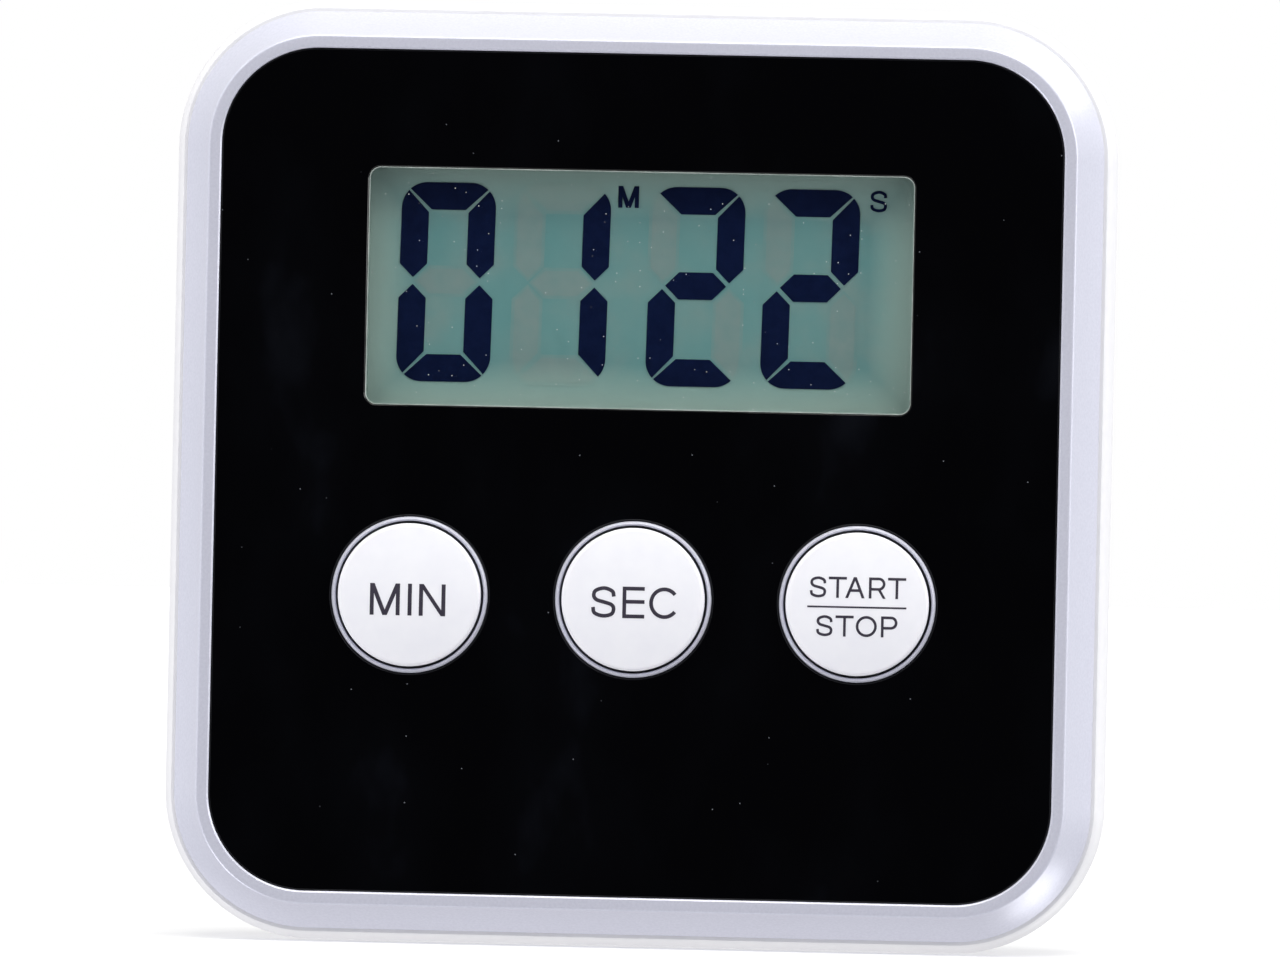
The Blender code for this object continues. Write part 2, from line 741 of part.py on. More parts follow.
def contacts(material):
    middle = BAY_FLOOR + CELL_RADIUS + GAP
    tall = (BAY_Z - BAY_HALF_Z - 2.6 * MM, BAY_Z + 4.0 * MM)
    for name, x in (("positive_contact", 24.2 * MM), ("negative_contact", -25.0 * MM)):
        tab = block(name, (x, x + 0.3 * MM), (9.0 * MM, 11.2 * MM), tall)
        leaf = block(
            "leaf", (x, x + 0.3 * MM), (middle - 3.6 * MM, middle + 3.6 * MM), (BAY_Z - 4 * MM, tall[1])
        )
        settle(unite(tab, leaf), material)
    turns = 3.5
    steps = 10
    wire = 0.3 * MM
    start = -24.7 * MM + wire + CLOSE
    span = CELL_END - wire - CLOSE - start
    route = []
    for step in range(int(turns * steps) + 1):
        part = step / (turns * steps)
        angle = 2 * math.pi * turns * part
        radius = (3.6 - 1.5 * part) * MM
        route.append(
            Vector((start + span * part, middle + radius * math.cos(angle), BAY_Z + radius * math.sin(angle)))
        )
    settle(tube_along("negative_spring", route, wire, 5), material)


def wires(red, black):
    """Four insulated wires, from the contacts and the sounder to the back of the board."""
    back = BOARD_FRONT + BOARD_THICK + 0.6 * MM
    radius = 0.45 * MM
    # Points along each wire, in millimetres. The battery wires start just under their contacts.
    positive = [(24.35, 10.1, 7.1), (24.3, 9.6, 4.6), (22.5, 8.6, 3.0), (20.2, 7.7, 3.6)]
    negative = [(-24.85, 10.1, 7.1), (-24.6, 9.6, 4.6), (-22.5, 8.6, 3.0), (-20.2, 7.7, 3.6)]
    brass = [(2.0, 12.7, -8.0), (5.0, 11.0, -6.5), (9.0, 9.2, -8.0), (11.0, 7.7, -11.0)]
    ceramic = [(-8.4, 12.9, -9.5), (-9.5, 11.2, -9.0), (-11.0, 9.2, -9.5), (-11.5, 7.7, -12.0)]
    routes = (
        ("battery_wire_positive", red, positive),
        ("battery_wire_negative", black, negative),
        ("piezo_wire_1", red, brass),
        ("piezo_wire_2", black, ceramic),
    )
    for name, material, points in routes:
        route = smooth_route([(x * MM, y * MM, z * MM) for x, y, z in points])
        route.append(Vector((route[-1].x, back, route[-1].z)))
        settle(tube_along(name, route, radius, 6), material)


# ---- back fittings ----------------------------------------------------------------------------


def battery_door(material):
    """Cut from the case's own outer form, so that its right end follows the rounded edge."""
    form = lofted("battery_door", [case_loop(*point) for point in REAR_OUTSIDE])
    wide = (DOOR_LEFT, BODY)
    body = block(
        "body", wide, (DOOR_INSIDE, DEPTH + 1 * MM), (BAY_Z - DOOR_HALF, BAY_Z + DOOR_HALF)
    )
    tongue = block(
        "tongue", wide, (DOOR_INSIDE, TONGUE_TOP), (BAY_Z - TONGUE_HALF, BAY_Z + TONGUE_HALF)
    )
    combine(form, [unite(body, tongue)], "INTERSECT")
    lefts = [GROOVE_LEFT + number * GROOVE_PITCH for number in range(GROOVES)]
    depths = (DEPTH - GROOVE_DEPTH, DEPTH + 1 * MM)
    tall = (BAY_Z - GROOVE_HALF, BAY_Z + GROOVE_HALF)
    cut(form, *[block("groove", (left, left + GROOVE_WIDTH), depths, tall) for left in lefts])
    return settle(form, material)


def kickstand(material):
    """A flat flap with a rounded top edge, a heel that stops it open, and two trunnions."""
    half = STAND_HALF_THICK
    foot = -STAND_LENGTH
    chamfer = 0.5 * MM
    heel = 1.45 * MM
    # The side view, as (depth, height) from the hinge axis: foot, outer face, heel, round top.
    side = [(-half, foot + chamfer), (-half + chamfer, foot), (half - chamfer, foot)]
    side += [(half, foot + chamfer), (half, 0.2 * MM), (0.5 * MM, heel), (0.0, heel)]
    side += [(-half * math.sin(a), half * math.cos(a)) for a in (math.pi / 8 * k for k in range(5))]
    bm = bmesh.new()
    rows = [[bm.verts.new((x, y, z)) for y, z in side] for x in (-STAND_HALF_X, STAND_HALF_X)]
    bm.faces.new(rows[0])
    bm.faces.new(rows[1])
    for i in range(len(side)):
        bm.faces.new((rows[0][i - 1], rows[0][i], rows[1][i], rows[1][i - 1]))
    piece = object_from("kickstand", bm)
    pins = plate(
        "pins", circle(TRUNNION_RADIUS, 16), (-STAND_HALF_X - 1.3 * MM, STAND_HALF_X + 1.3 * MM)
    )
    pins.data.transform(Matrix.Rotation(math.pi / 2, 4, "Z"))
    unite(piece, pins)
    hollow = rounded_rectangle(
        STAND_HALF_X - STAND_BORDER, STAND_HOLLOW_HALF_Z, 1.5 * MM, 4, (0, STAND_HOLLOW_Z)
    )
    cut(piece, plate("hollow", hollow, (half - STAND_HOLLOW_DEPTH, 5 * MM)))
    piece.data.transform(Matrix.Translation((0, STAND_AXIS_DEPTH, STAND_AXIS_Z)))
    return settle(piece, material, (0, STAND_AXIS_DEPTH, STAND_AXIS_Z))


def magnets(material):
    for side, name in ((-1, "magnet_left"), (1, "magnet_right")):
        spot = (side * MAGNET_X, MAGNET_Z)
        profile = [
            (0.0, 15.8 * MM),
            (MAGNET_RADIUS, 15.8 * MM),
            (MAGNET_RADIUS, 17.5 * MM),
            (MAGNET_RADIUS - 0.2 * MM, 17.7 * MM),
            (0.0, 17.7 * MM),
        ]
        settle(turned(name, profile, 36, spot), material)


def screws(material):
    """Cross-head screws, each driven in from the back along -Y."""
    board_seat = BOARD_FRONT + BOARD_THICK + CLOSE
    case_seat = COUNTERBORE_FLOOR + GAP
    # Name, places, seat, head radius, head height, shank radius, shank length, sides
    sets = (
        ("case_screw", CORNERS, case_seat, 1.9 * MM, 1.3 * MM, 0.95 * MM, 6.8 * MM, 12),
        ("board_screw", BOARD_SCREWS, board_seat, 1.45 * MM, 0.9 * MM, 0.7 * MM, 3.6 * MM, 8),
    )
    for kind, spots, seat, head, height, shank, length, steps in sets:
        screw = turned(
            kind,
            [
                (0.0, seat + height),
                (head * 0.7, seat + height),
                (head, seat + height * 0.5),
                (head, seat),
                (shank, seat),
                (shank, seat - length),
                (0.0, seat - length),
            ],
            steps,
        )
        slot = head * 0.16
        arm = head * 0.62
        floor = seat + height * 0.4
        top = seat + 2 * height
        cut(
            screw,
            block("slot", (-arm, arm), (floor, top), (-slot, slot)),
            block("slot", (-slot, slot), (floor, top), (-arm, arm)),
        )
        for number, (x, z) in enumerate(spots, 1):
            copy = bpy.data.objects.new(f"{kind}_{number}", screw.data)
            bpy.context.collection.objects.link(copy)
            settle(copy, material)
            copy.location = (x, 0, z)
        bpy.data.objects.remove(screw, do_unlink=True)


# ---- the whole timer ------------------------------------------------------------------------

clear_scene()
FACE = bpy.data.objects.new("face_centre", None)
bpy.context.collection.objects.link(FACE)
FACE.location = (0, -(DEPTH - CAP_PROUD) / 2, BODY / 2)

SILVER = finish("silver_paint", (0.55, 0.55, 0.64), 0.38, 0.6)
WHITE_CASE = finish("white_case_plastic", (0.80, 0.80, 0.82), 0.45)
BLACK_ACRYLIC = finish("black_acrylic", (0.006, 0.006, 0.010), 0.06)
CLEAR = finish("clear_acrylic", (0.9, 0.92, 0.92), 0.03, alpha=0.2)
GLASS = finish("display_glass", (0.75, 0.85, 0.80), 0.03, alpha=0.25)
POLARISER = finish("polariser_film", (0.30, 0.36, 0.33), 0.2, alpha=0.4)
REFLECTOR = finish("reflector_film", (0.16, 0.22, 0.20), 0.5)
CAP_WHITE = finish("cap_white", (0.85, 0.85, 0.88), 0.3)
HOLDER_WHITE = finish("holder_plastic", (0.75, 0.75, 0.72), 0.5)
TAPE = finish("adhesive_sheet", (0.05, 0.05, 0.05), 0.8)
SILICONE = finish("silicone", (0.60, 0.60, 0.58), 0.6)
CARBON = finish("carbon_pill", (0.02, 0.02, 0.02), 0.7)
ZEBRA = finish("zebra_rubber", (0.65, 0.35, 0.38), 0.6)
BOARD_GREEN = finish("board_green", (0.03, 0.22, 0.08), 0.4)
EPOXY = finish("black_epoxy", (0.01, 0.01, 0.012), 0.35)
CERAMIC = finish("chip_ceramic", (0.45, 0.33, 0.22), 0.5)
TIN = finish("tinned_can", (0.70, 0.70, 0.72), 0.25, 1.0)
RESISTOR_BLACK = finish("resistor_black", (0.02, 0.02, 0.02), 0.4)
BRASS = finish("brass", (0.70, 0.50, 0.20), 0.3, 1.0)
PIEZO_WHITE = finish("piezo_ceramic", (0.75, 0.73, 0.68), 0.6)
SPRING_STEEL = finish("nickel_spring_steel", (0.62, 0.60, 0.56), 0.3, 1.0)
CELL_JACKET = finish("cell_jacket", (0.10, 0.16, 0.30), 0.35, 0.5)
RED_WIRE = finish("red_insulation", (0.55, 0.03, 0.02), 0.45)
BLACK_WIRE = finish("black_insulation", (0.02, 0.02, 0.02), 0.45)
MAGNET = finish("nickel_plate", (0.60, 0.59, 0.57), 0.22, 1.0)
SCREW_STEEL = finish("screw_steel", (0.45, 0.45, 0.46), 0.3, 1.0)

front_case(SILVER)
face_panel(BLACK_ACRYLIC)
panel_adhesive(TAPE)
lcd_window(CLEAR)
lcd_cell(GLASS, POLARISER, REFLECTOR)
lcd_holder(HOLDER_WHITE)
zebra_strip(ZEBRA)
buttons(CAP_WHITE, SILICONE, CARBON)
circuit_board(BOARD_GREEN)
board_parts(EPOXY, TIN, CERAMIC, RESISTOR_BLACK)
sounder(BRASS, PIEZO_WHITE)
battery_cell(CELL_JACKET)
contacts(SPRING_STEEL)
wires(RED_WIRE, BLACK_WIRE)
back_cover(WHITE_CASE)
battery_door(WHITE_CASE)
kickstand(WHITE_CASE)
magnets(MAGNET)
screws(SCREW_STEEL)
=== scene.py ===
"""The looks of a square digital countdown timer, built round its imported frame.

Shapes are made in face space and then moved to FACE, the middle of the rim's plane: x runs to the
right, y from the rim towards the back, z up. Sizes below are in millimetres times MM.
"""

import json
import math

import bmesh
import bpy
from mathutils import Matrix, Vector
from mathutils.geometry import delaunay_2d_cdt


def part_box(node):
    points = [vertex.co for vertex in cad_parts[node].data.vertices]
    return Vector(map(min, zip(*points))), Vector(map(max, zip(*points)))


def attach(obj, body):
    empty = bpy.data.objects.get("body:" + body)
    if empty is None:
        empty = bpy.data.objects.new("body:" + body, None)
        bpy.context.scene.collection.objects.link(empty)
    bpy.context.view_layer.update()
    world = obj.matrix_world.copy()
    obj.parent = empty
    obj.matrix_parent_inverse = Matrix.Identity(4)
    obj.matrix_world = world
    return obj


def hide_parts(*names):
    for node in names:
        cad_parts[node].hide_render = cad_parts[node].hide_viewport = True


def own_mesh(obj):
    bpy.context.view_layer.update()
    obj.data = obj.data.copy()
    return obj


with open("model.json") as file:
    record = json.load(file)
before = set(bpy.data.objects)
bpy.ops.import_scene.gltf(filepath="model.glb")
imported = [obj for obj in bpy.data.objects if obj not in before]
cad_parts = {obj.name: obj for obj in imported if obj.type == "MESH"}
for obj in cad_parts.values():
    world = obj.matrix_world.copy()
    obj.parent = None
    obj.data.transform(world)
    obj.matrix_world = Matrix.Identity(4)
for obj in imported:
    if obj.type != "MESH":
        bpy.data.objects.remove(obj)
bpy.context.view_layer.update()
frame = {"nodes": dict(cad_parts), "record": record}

MM = 0.001


def mm(*values):
    """These lengths in metres, from millimetres."""
    return tuple(value * MM for value in values)


# The case, as the frame gives it
FRONT_LOW, FRONT_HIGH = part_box("front_case")
BACK_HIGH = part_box("back_cover")[1]
COLLAR_PROUD = 0.12 * MM  # the collars stand this far in front of the rim
RIM_Y = FRONT_LOW.y + COLLAR_PROUD
FACE = Vector((0.0, RIM_Y, (FRONT_LOW.z + FRONT_HIGH.z) / 2))
DEPTH = BACK_HIGH.y - RIM_Y
BODY_HALF = BACK_HIGH.x
CORNER_CENTRE = 22.3 * MM  # every corner of the case turns about this point
CORNER_STEPS = 24
ROUND_STEPS = 96

# Front case
BEZEL_HALF = FRONT_HIGH.x
RIM_INSIDE, RIM_OUTSIDE = mm(29.0, 29.88)
WEB_FRONT, WEB_BACK = mm(1.38, 2.48)
RIM_CHAMFER = 0.11 * MM
SLOPE_HOLLOW = 0.15 * MM  # the sloping bezel is slightly hollow

# Window
WINDOW_CENTRE = 12.73 * MM
WINDOW_HALF_X, WINDOW_HALF_Z, WINDOW_CORNER = mm(18.78, 8.19, 0.8)
WINDOW_PLAY = 0.08 * MM
APERTURE_HALF_X, APERTURE_HALF_Z = mm(20.5, 9.9)

# Buttons
KEYS = ("min", "sec", "start_stop")
CAP_RADIUS, CAP_RISE, CAP_FILLET = mm(4.92, 0.42, 0.3)
COLLAR_INSIDE, COLLAR_OUTSIDE = mm(5.09, 5.37)

# Back
COUNTERBORE, COUNTERBORE_FLOOR = mm(2.2, 10.2)
STAND_FLOOR, STAND_HOLLOW, MAGNET_FLOOR = mm(15.75, 0.4, 15.7)
STAND_AXIS_Y, STAND_AXIS_Z = mm(16.9, 4.9)
STAND_HALF, STAND_PIN, STAND_PIN_REACH = mm(13.0, 0.72, 1.3)
BAY_HALF_X, BAY_HALF_Z, BAY_MIDDLE, BAY_FLOOR = mm(25.3, 5.4, 15.4, 5.9)
DOOR_INSIDE, DOOR_HALF = mm(16.6, 6.1)
TONGUE_HALF, TONGUE_TOP = mm(6.8, 17.2)
GAP = 0.1 * MM
EDGE = 0.14 * MM  # the small chamfer along moulded edges
BEYOND = 1.0 * MM  # how far a cutter reaches past the surface it opens
INK = 0.012 * MM  # the height of a print


# ---- outlines ----


def inside_face(node):
    """Lowest and highest corner of a CAD node, in face space."""
    low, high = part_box(node)
    return low - FACE, high - FACE


def middle_of(node):
    low, high = inside_face(node)
    return (low.x + high.x) / 2, (low.z + high.z) / 2


KEY_SPOTS = {key: middle_of(f"button_{key}") for key in KEYS}
SCREW_SPOTS = [middle_of(f"case_screw_{number}") for number in (1, 2, 3, 4)]
MAGNET_SPOTS = [middle_of(f"magnet_{side}") for side in ("left", "right")]


def arc(centre, radius, start, end, steps):
    """Points from one angle to another, in degrees. radius is one number or (x, z)."""
    radius_x, radius_z = radius if isinstance(radius, tuple) else (radius, radius)
    angles = [math.radians(start + (end - start) * step / steps) for step in range(steps + 1)]
    return [
        (centre[0] + radius_x * math.cos(a), centre[1] + radius_z * math.sin(a)) for a in angles
    ]


def circle(radius, centre=(0.0, 0.0), steps=ROUND_STEPS):
    return arc(centre, radius, 0, 360, steps)[:-1]


def rounded_rectangle(half_x, half_z, radius, centre=(0.0, 0.0), steps=8):
    points = []
    for quarter, (side_x, side_z) in enumerate(((1, 1), (-1, 1), (-1, -1), (1, -1))):
        corner = (centre[0] + side_x * (half_x - radius), centre[1] + side_z * (half_z - radius))
        points += arc(corner, radius, quarter * 90, quarter * 90 + 90, steps)
    return points


def case_outline(half):
    return rounded_rectangle(half, half, half - CORNER_CENTRE, steps=CORNER_STEPS)


def window_outline(growth=0.0):
    return rounded_rectangle(
        WINDOW_HALF_X + growth, WINDOW_HALF_Z + growth, WINDOW_CORNER + growth, (0, WINDOW_CENTRE)
    )


def curve_through(points, steps=6):
    """A Catmull-Rom curve through 2D or 3D points."""
    points = [Vector(point) for point in points]
    ends = [2 * points[0] - points[1], *points, 2 * points[-1] - points[-2]]
    route = []
    for a, b, c, d in zip(ends, ends[1:], ends[2:], ends[3:]):
        square = 2 * a - 5 * b + 4 * c - d
        cube = 3 * b - a - 3 * c + d
        for step in range(steps):
            t = step / steps
            route.append(0.5 * (2 * b + (c - a) * t + square * t**2 + cube * t**3))
    return [tuple(point) for point in (*route, points[-1])]


def softened(profile, steps=5):
    """Rounds the corners of a line of (distance, depth, reach), each over its own reach."""
    points = []
    for i, (distance, depth, reach) in enumerate(profile):
        here = Vector((distance, depth))
        if reach == 0 or i in (0, len(profile) - 1):
            points.append(tuple(here))
            continue
        start = here + reach * (Vector(profile[i - 1][:2]) - here).normalized()
        end = here + reach * (Vector(profile[i + 1][:2]) - here).normalized()
        for step in range(steps + 1):
            t = step / steps
            points.append(tuple((1 - t) ** 2 * start + 2 * t * (1 - t) * here + t**2 * end))
    return points


# ---- solids ----


def add_object(name, data):
    made = bpy.data.objects.new(name, data)
    bpy.context.scene.collection.objects.link(made)
    return made


def object_from(name, bm):
    bmesh.ops.recalc_face_normals(bm, faces=bm.faces)
    mesh = bpy.data.meshes.new(name)
    bm.to_mesh(mesh)
    bm.free()
    return add_object(name, mesh)


def lofted(name, rows, ring=False):
    """Joins (outline, depth) rows of equally many points, and fills the ends or closes a ring."""
    bm = bmesh.new()
    loops = [[bm.verts.new((x, depth, z)) for x, z in outline] for outline, depth in rows]
    count = len(loops[0])
    for near, far in zip(loops, loops[1:] + loops[:1] if ring else loops[1:]):
        for i in range(count):
            j = (i + 1) % count
            bm.faces.new((near[i], near[j], far[j], far[i]))
    if not ring:
        bm.faces.new(loops[0])
        bm.faces.new(loops[-1])
    return object_from(name, bm)


def plate(name, outline, depths):
    return lofted(name, [(outline, depths[0]), (outline, depths[1])])


def block(name, x_range, depths, z_range):
    (left, right), (low, high) = x_range, z_range
    return plate(name, [(right, high), (left, high), (left, low), (right, low)], depths)


def turned(name, profile, centre=(0.0, 0.0), steps=ROUND_STEPS, closed=False):
    """Spins (radius, depth) points about an axis along Y through centre (x, z)."""
    bm = bmesh.new()
    verts = [bm.verts.new((radius, depth, 0)) for radius, depth in profile]
    edges = [bm.edges.new(pair) for pair in zip(verts, verts[1:])]
    if closed:
        edges.append(bm.edges.new((verts[-1], verts[0])))
    bmesh.ops.spin(
        bm, geom=verts + edges, cent=(0, 0, 0), axis=(0, 1, 0), angle=2 * math.pi, steps=steps,
        use_merge=True,
    )
    bmesh.ops.remove_doubles(bm, verts=bm.verts, dist=0.0001 * MM)
    bmesh.ops.translate(bm, verts=bm.verts, vec=(centre[0], 0, centre[1]))
    return object_from(name, bm)


def rod(name, radius, depths, centre=(0.0, 0.0), steps=32):
    return plate(name, circle(radius, centre, steps), depths)


def mouth(floor, flare):
    """The growth and depth of each row of a cutter that opens the back with a small chamfer."""
    return (0.0, floor), (0.0, DEPTH - flare), (flare + BEYOND, DEPTH + BEYOND)


def pocket(half_x, half_z, radius, centre, floor, flare=EDGE, steps=6):
    """A cutter for a pocket in the back."""
    rows = []
    for growth, depth in mouth(floor, flare):
        size = half_x + growth, half_z + growth, radius + growth
        rows.append((rounded_rectangle(*size, centre, steps), depth))
    return lofted("pocket", rows)


def well(radius, centre, floor, flare=EDGE, steps=64):
    """A round cutter like pocket()."""
    rows = mouth(floor, flare)
    return lofted("well", [(circle(radius + growth, centre, steps), y) for growth, y in rows])


def combine(piece, others, operation):
    """Unites piece with the others, cuts them from it or keeps what they share."""
    for other in others:
        modifier = piece.modifiers.new(other.name, "BOOLEAN")
        modifier.operation = operation
        modifier.object = other
    graph = bpy.context.evaluated_depsgraph_get()
    graph.update()
    mesh = bpy.data.meshes.new_from_object(piece.evaluated_get(graph))
    piece.modifiers.clear()
    piece.data = mesh
    for other in others:
        bpy.data.objects.remove(other, do_unlink=True)
    return piece


def unite(piece, *others):
    return combine(piece, others, "UNION")


def cut(piece, *others):
    return combine(piece, others, "DIFFERENCE")


def show(piece, finish, body, replaces=(), weighted=True):
    """Puts a finished shape in its place, on its body. What stands for nodes hides them."""
    piece.data.materials.clear()
    piece.data.materials.append(FINISHES[finish])
    piece.data.shade_smooth()
    piece.data.set_sharp_from_angle(angle=math.radians(30))
    if weighted:
        modifier = piece.modifiers.new("even_normals", "WEIGHTED_NORMAL")
        modifier.keep_sharp = True
    piece.location = FACE
    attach(piece, body)
    if replaces:
        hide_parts(*replaces)


# ---- finishes ----


def principled(name, **values):
    """A material whose shader holds these plain values, such as Specular_IOR_Level=0.05."""
    mat = bpy.data.materials.new(name)
    mat.use_nodes = True
    for socket, value in values.items():
        surface_input(mat, socket.replace("_", " ")).default_value = value
    return mat


def surface_input(mat, socket):
    return mat.node_tree.nodes["Principled BSDF"].inputs[socket]


def node(owner, kind, **values):
    """A new node of a material or the world, with these values in its sockets."""
    made = owner.node_tree.nodes.new(kind)
    for socket, value in values.items():
        made.inputs[socket.replace("_", " ")].default_value = value
    return made


def link(owner, source, target):
    """Joins an output to an input, or sets the input when source is a plain value."""
    if isinstance(source, bpy.types.NodeSocket):
        owner.node_tree.links.new(source, target)
    else:
        target.default_value = source


def computed(owner, operation, *values):
    """The result of a Math node. Each value is a number or an output."""
    made = node(owner, "ShaderNodeMath")
    made.operation = operation
    for value, target in zip(values, made.inputs):
        link(owner, value, target)
    return made.outputs["Value"]


def blended(owner, share, first, second, way="MIX"):
    """Two colours mixed. Each of share, first and second is a value or an output."""
    made = node(owner, "ShaderNodeMix")
    made.data_type = "RGBA"
    made.blend_type = way
    for socket, value in (("Factor", share), ("A", first), ("B", second)):
        link(owner, value, made.inputs[socket])
    return made.outputs["Result"]


def overlaid(mat, share, under, over):
    """One shader laid over another, by share."""
    made = node(mat, "ShaderNodeMixShader")
    for source, target in zip((share, under.outputs[0], over.outputs[0]), made.inputs):
        link(mat, source, target)
    return made


def scaled(owner, pattern, source, target=(0.0, 1.0)):
    """A pattern whose source range is spread over the target range."""
    (low, high), (start, end) = source, target
    made = node(owner, "ShaderNodeMapRange", From_Min=low, From_Max=high, To_Min=start, To_Max=end)
    link(owner, pattern, made.inputs["Value"])
    return made.outputs["Result"]


def ramped(owner, pattern, stops):
    """Colours from a pattern, by stops of (place, colour)."""
    ramp = node(owner, "ShaderNodeValToRGB")
    marks = ramp.color_ramp.elements
    while len(marks) < len(stops):
        marks.new(0.5)
    for mark, (place, color) in zip(marks, stops):
        mark.position = place
        mark.color = (*color, 1.0)
    link(owner, pattern, ramp.inputs["Fac"])
    return ramp


def own_place(owner, space="Object"):
    return node(owner, "ShaderNodeTexCoord").outputs[space]


def coordinates(owner, space="Object"):
    """The X, Y and Z of a place, in the piece's own space and metres unless space says else."""
    split = node(owner, "ShaderNodeSeparateXYZ")
    link(owner, own_place(owner, space), split.inputs["Vector"])
    return split.outputs


def noise(mat, scale, detail=3.0, stretch=(1, 1, 1)):
    """A cloudy pattern in the piece's own space, scale features to the metre."""
    mapping = node(mat, "ShaderNodeMapping", Scale=stretch)
    made = node(mat, "ShaderNodeTexNoise", Scale=scale, Detail=detail)
    link(mat, own_place(mat), mapping.inputs["Vector"])
    link(mat, mapping.outputs["Vector"], made.inputs["Vector"])
    return made.outputs["Fac"]


def specks(mat, scale, size, share):
    """1 in small round spots on the front plane, in this share of the cells, and 0 elsewhere."""
    place = coordinates(mat)
    front = node(mat, "ShaderNodeCombineXYZ")
    cells = node(mat, "ShaderNodeTexVoronoi", Scale=scale)
    cells.voronoi_dimensions = "2D"
    link(mat, place["X"], front.inputs["X"])
    link(mat, place["Z"], front.inputs["Y"])
    link(mat, front.outputs["Vector"], cells.inputs["Vector"])
    spot = scaled(mat, cells.outputs["Distance"], (size, size * 0.5))
    chosen = node(mat, "ShaderNodeSeparateColor")
    link(mat, cells.outputs["Color"], chosen.inputs["Color"])
    kept = scaled(mat, chosen.outputs["Red"], (1.0 - share, 1.0 - share * 0.5))
    return computed(mat, "MULTIPLY", spot, kept)


def tinted(mat, pattern, stops):
    ramp = ramped(mat, pattern, stops)
    link(mat, ramp.outputs["Color"], surface_input(mat, "Base Color"))
    return ramp


def roughened(mat, pattern, source, target):
    link(mat, scaled(mat, pattern, source, target), surface_input(mat, "Roughness"))


def relief(mat, pattern, height):
    bump = node(mat, "ShaderNodeBump", Strength=1.0, Distance=height)
    link(mat, pattern, bump.inputs["Height"])
    link(mat, bump.outputs["Normal"], surface_input(mat, "Normal"))


def varied(
    name, dark, light, roughness, grain=1200, fine=4000, height=0.001 * MM, stretch=(1, 1, 1),
    **values,
):
    """A surface whose colour and roughness drift, with a fine relief."""
    mat = principled(name, **values)
    tinted(mat, noise(mat, grain, stretch=stretch), [(0.3, dark), (0.7, light)])
    roughened(mat, noise(mat, grain * 1.7), (0.3, 0.7), roughness)
    relief(mat, noise(mat, fine, 2.0, stretch), height)
    return mat


def panel_black():
    """High gloss black acrylic with faint wipe marks and specks of dust."""
    mat = principled("panel_black", Specular_IOR_Level=0.5, IOR=1.49)
    smudge = noise(mat, 110, 4.0, (1.0, 1.0, 0.6))
    clean, hazy, wiped = (0.0006, 0.0006, 0.0007), (0.0010, 0.0011, 0.0014), (0.003, 0.0035, 0.005)
    colors = tinted(mat, smudge, [(0.45, clean), (0.62, hazy), (0.75, wiped)])
    roughened(mat, smudge, (0.45, 0.8), (0.05, 0.16))
    relief(mat, noise(mat, 60, 1.0), 0.002 * MM)
    dust = specks(mat, 520.0, 0.028, 0.07)
    dusty = blended(mat, dust, colors.outputs["Color"], (0.16, 0.17, 0.19, 1.0))
    link(mat, dusty, surface_input(mat, "Base Color"))
    return mat


def window_clear():
    """Clear plastic: the display shows through its tint, and it shines and has dust in front."""
    mat = bpy.data.materials.new("window_clear")
    mat.use_nodes = True
    nodes = mat.node_tree.nodes
    nodes.remove(nodes["Principled BSDF"])
    through = node(mat, "ShaderNodeBsdfTransparent", Color=(0.97, 0.98, 0.98, 1.0))
    shine = node(mat, "ShaderNodeBsdfGlossy", Roughness=0.04)
    flecks = node(mat, "ShaderNodeBsdfDiffuse", Color=(0.85, 0.9, 0.9, 1.0))
    ior = 1.49
    head_on = ((ior - 1) / (ior + 1)) ** 2
    facing = node(mat, "ShaderNodeLayerWeight", Blend=0.5).outputs["Facing"]
    share = scaled(mat, computed(mat, "POWER", facing, 5.0), (0.0, 1.0), (head_on, 1.0))
    front = scaled(mat, coordinates(mat)["Y"], mm(0.4, 0.5), (1.0, 0.0))
    dust = computed(mat, "MULTIPLY", front, specks(mat, 1250.0, 0.05, 0.17))
    dusty = overlaid(mat, dust, overlaid(mat, share, through, shine), flecks)
    link(mat, dusty.outputs[0], nodes["Material Output"].inputs["Surface"])
    return mat


def painted_edge_light(mat):
    """Paints light into the finish's colour towards the edges of the window, to make up for the
    shade of its recess.
    """
    base = surface_input(mat, "Base Color")
    color = base.links[0].from_socket
    place = coordinates(mat)
    height = computed(mat, "SUBTRACT", place["Z"], WINDOW_CENTRE)
    inside = [
        computed(mat, "SUBTRACT", half, computed(mat, "ABSOLUTE", away))
        for half, away in ((WINDOW_HALF_X, place["X"]), (WINDOW_HALF_Z, height))
    ]
    share = scaled(mat, computed(mat, "MINIMUM", *inside), mm(0.0, 3.2), (1.0, 0.0))
    # Painted light: the colour pales towards this fixed pale green at the window's edges, against
    # the shade of the recess.
    link(mat, blended(mat, share, color, (0.45, 0.61, 0.54, 1.0)), base)


def display_ground():
    """The grey-green field of the display, with painted light along its edges that makes it paler
    and warmer there.
    """
    mat = principled("display_ground", Roughness=0.45, Specular_IOR_Level=0.05)
    cool, green, warm = (0.158, 0.342, 0.334), (0.180, 0.350, 0.338), (0.230, 0.354, 0.332)
    tinted(mat, noise(mat, 260, 5.0), [(0.30, cool), (0.5, green), (0.72, warm)])
    painted_edge_light(mat)
    relief(mat, noise(mat, 9000, 2.0), 0.0006 * MM)
    return mat


def idle_segment(name, dark, light):
    """Ink that is only a little warmer than the field round it, with the same painted light towards
    the window's edges.
    """
    mat = varied(name, dark, light, (0.45, 0.55), grain=900, Specular_IOR_Level=0.05)
    painted_edge_light(mat)
    return mat


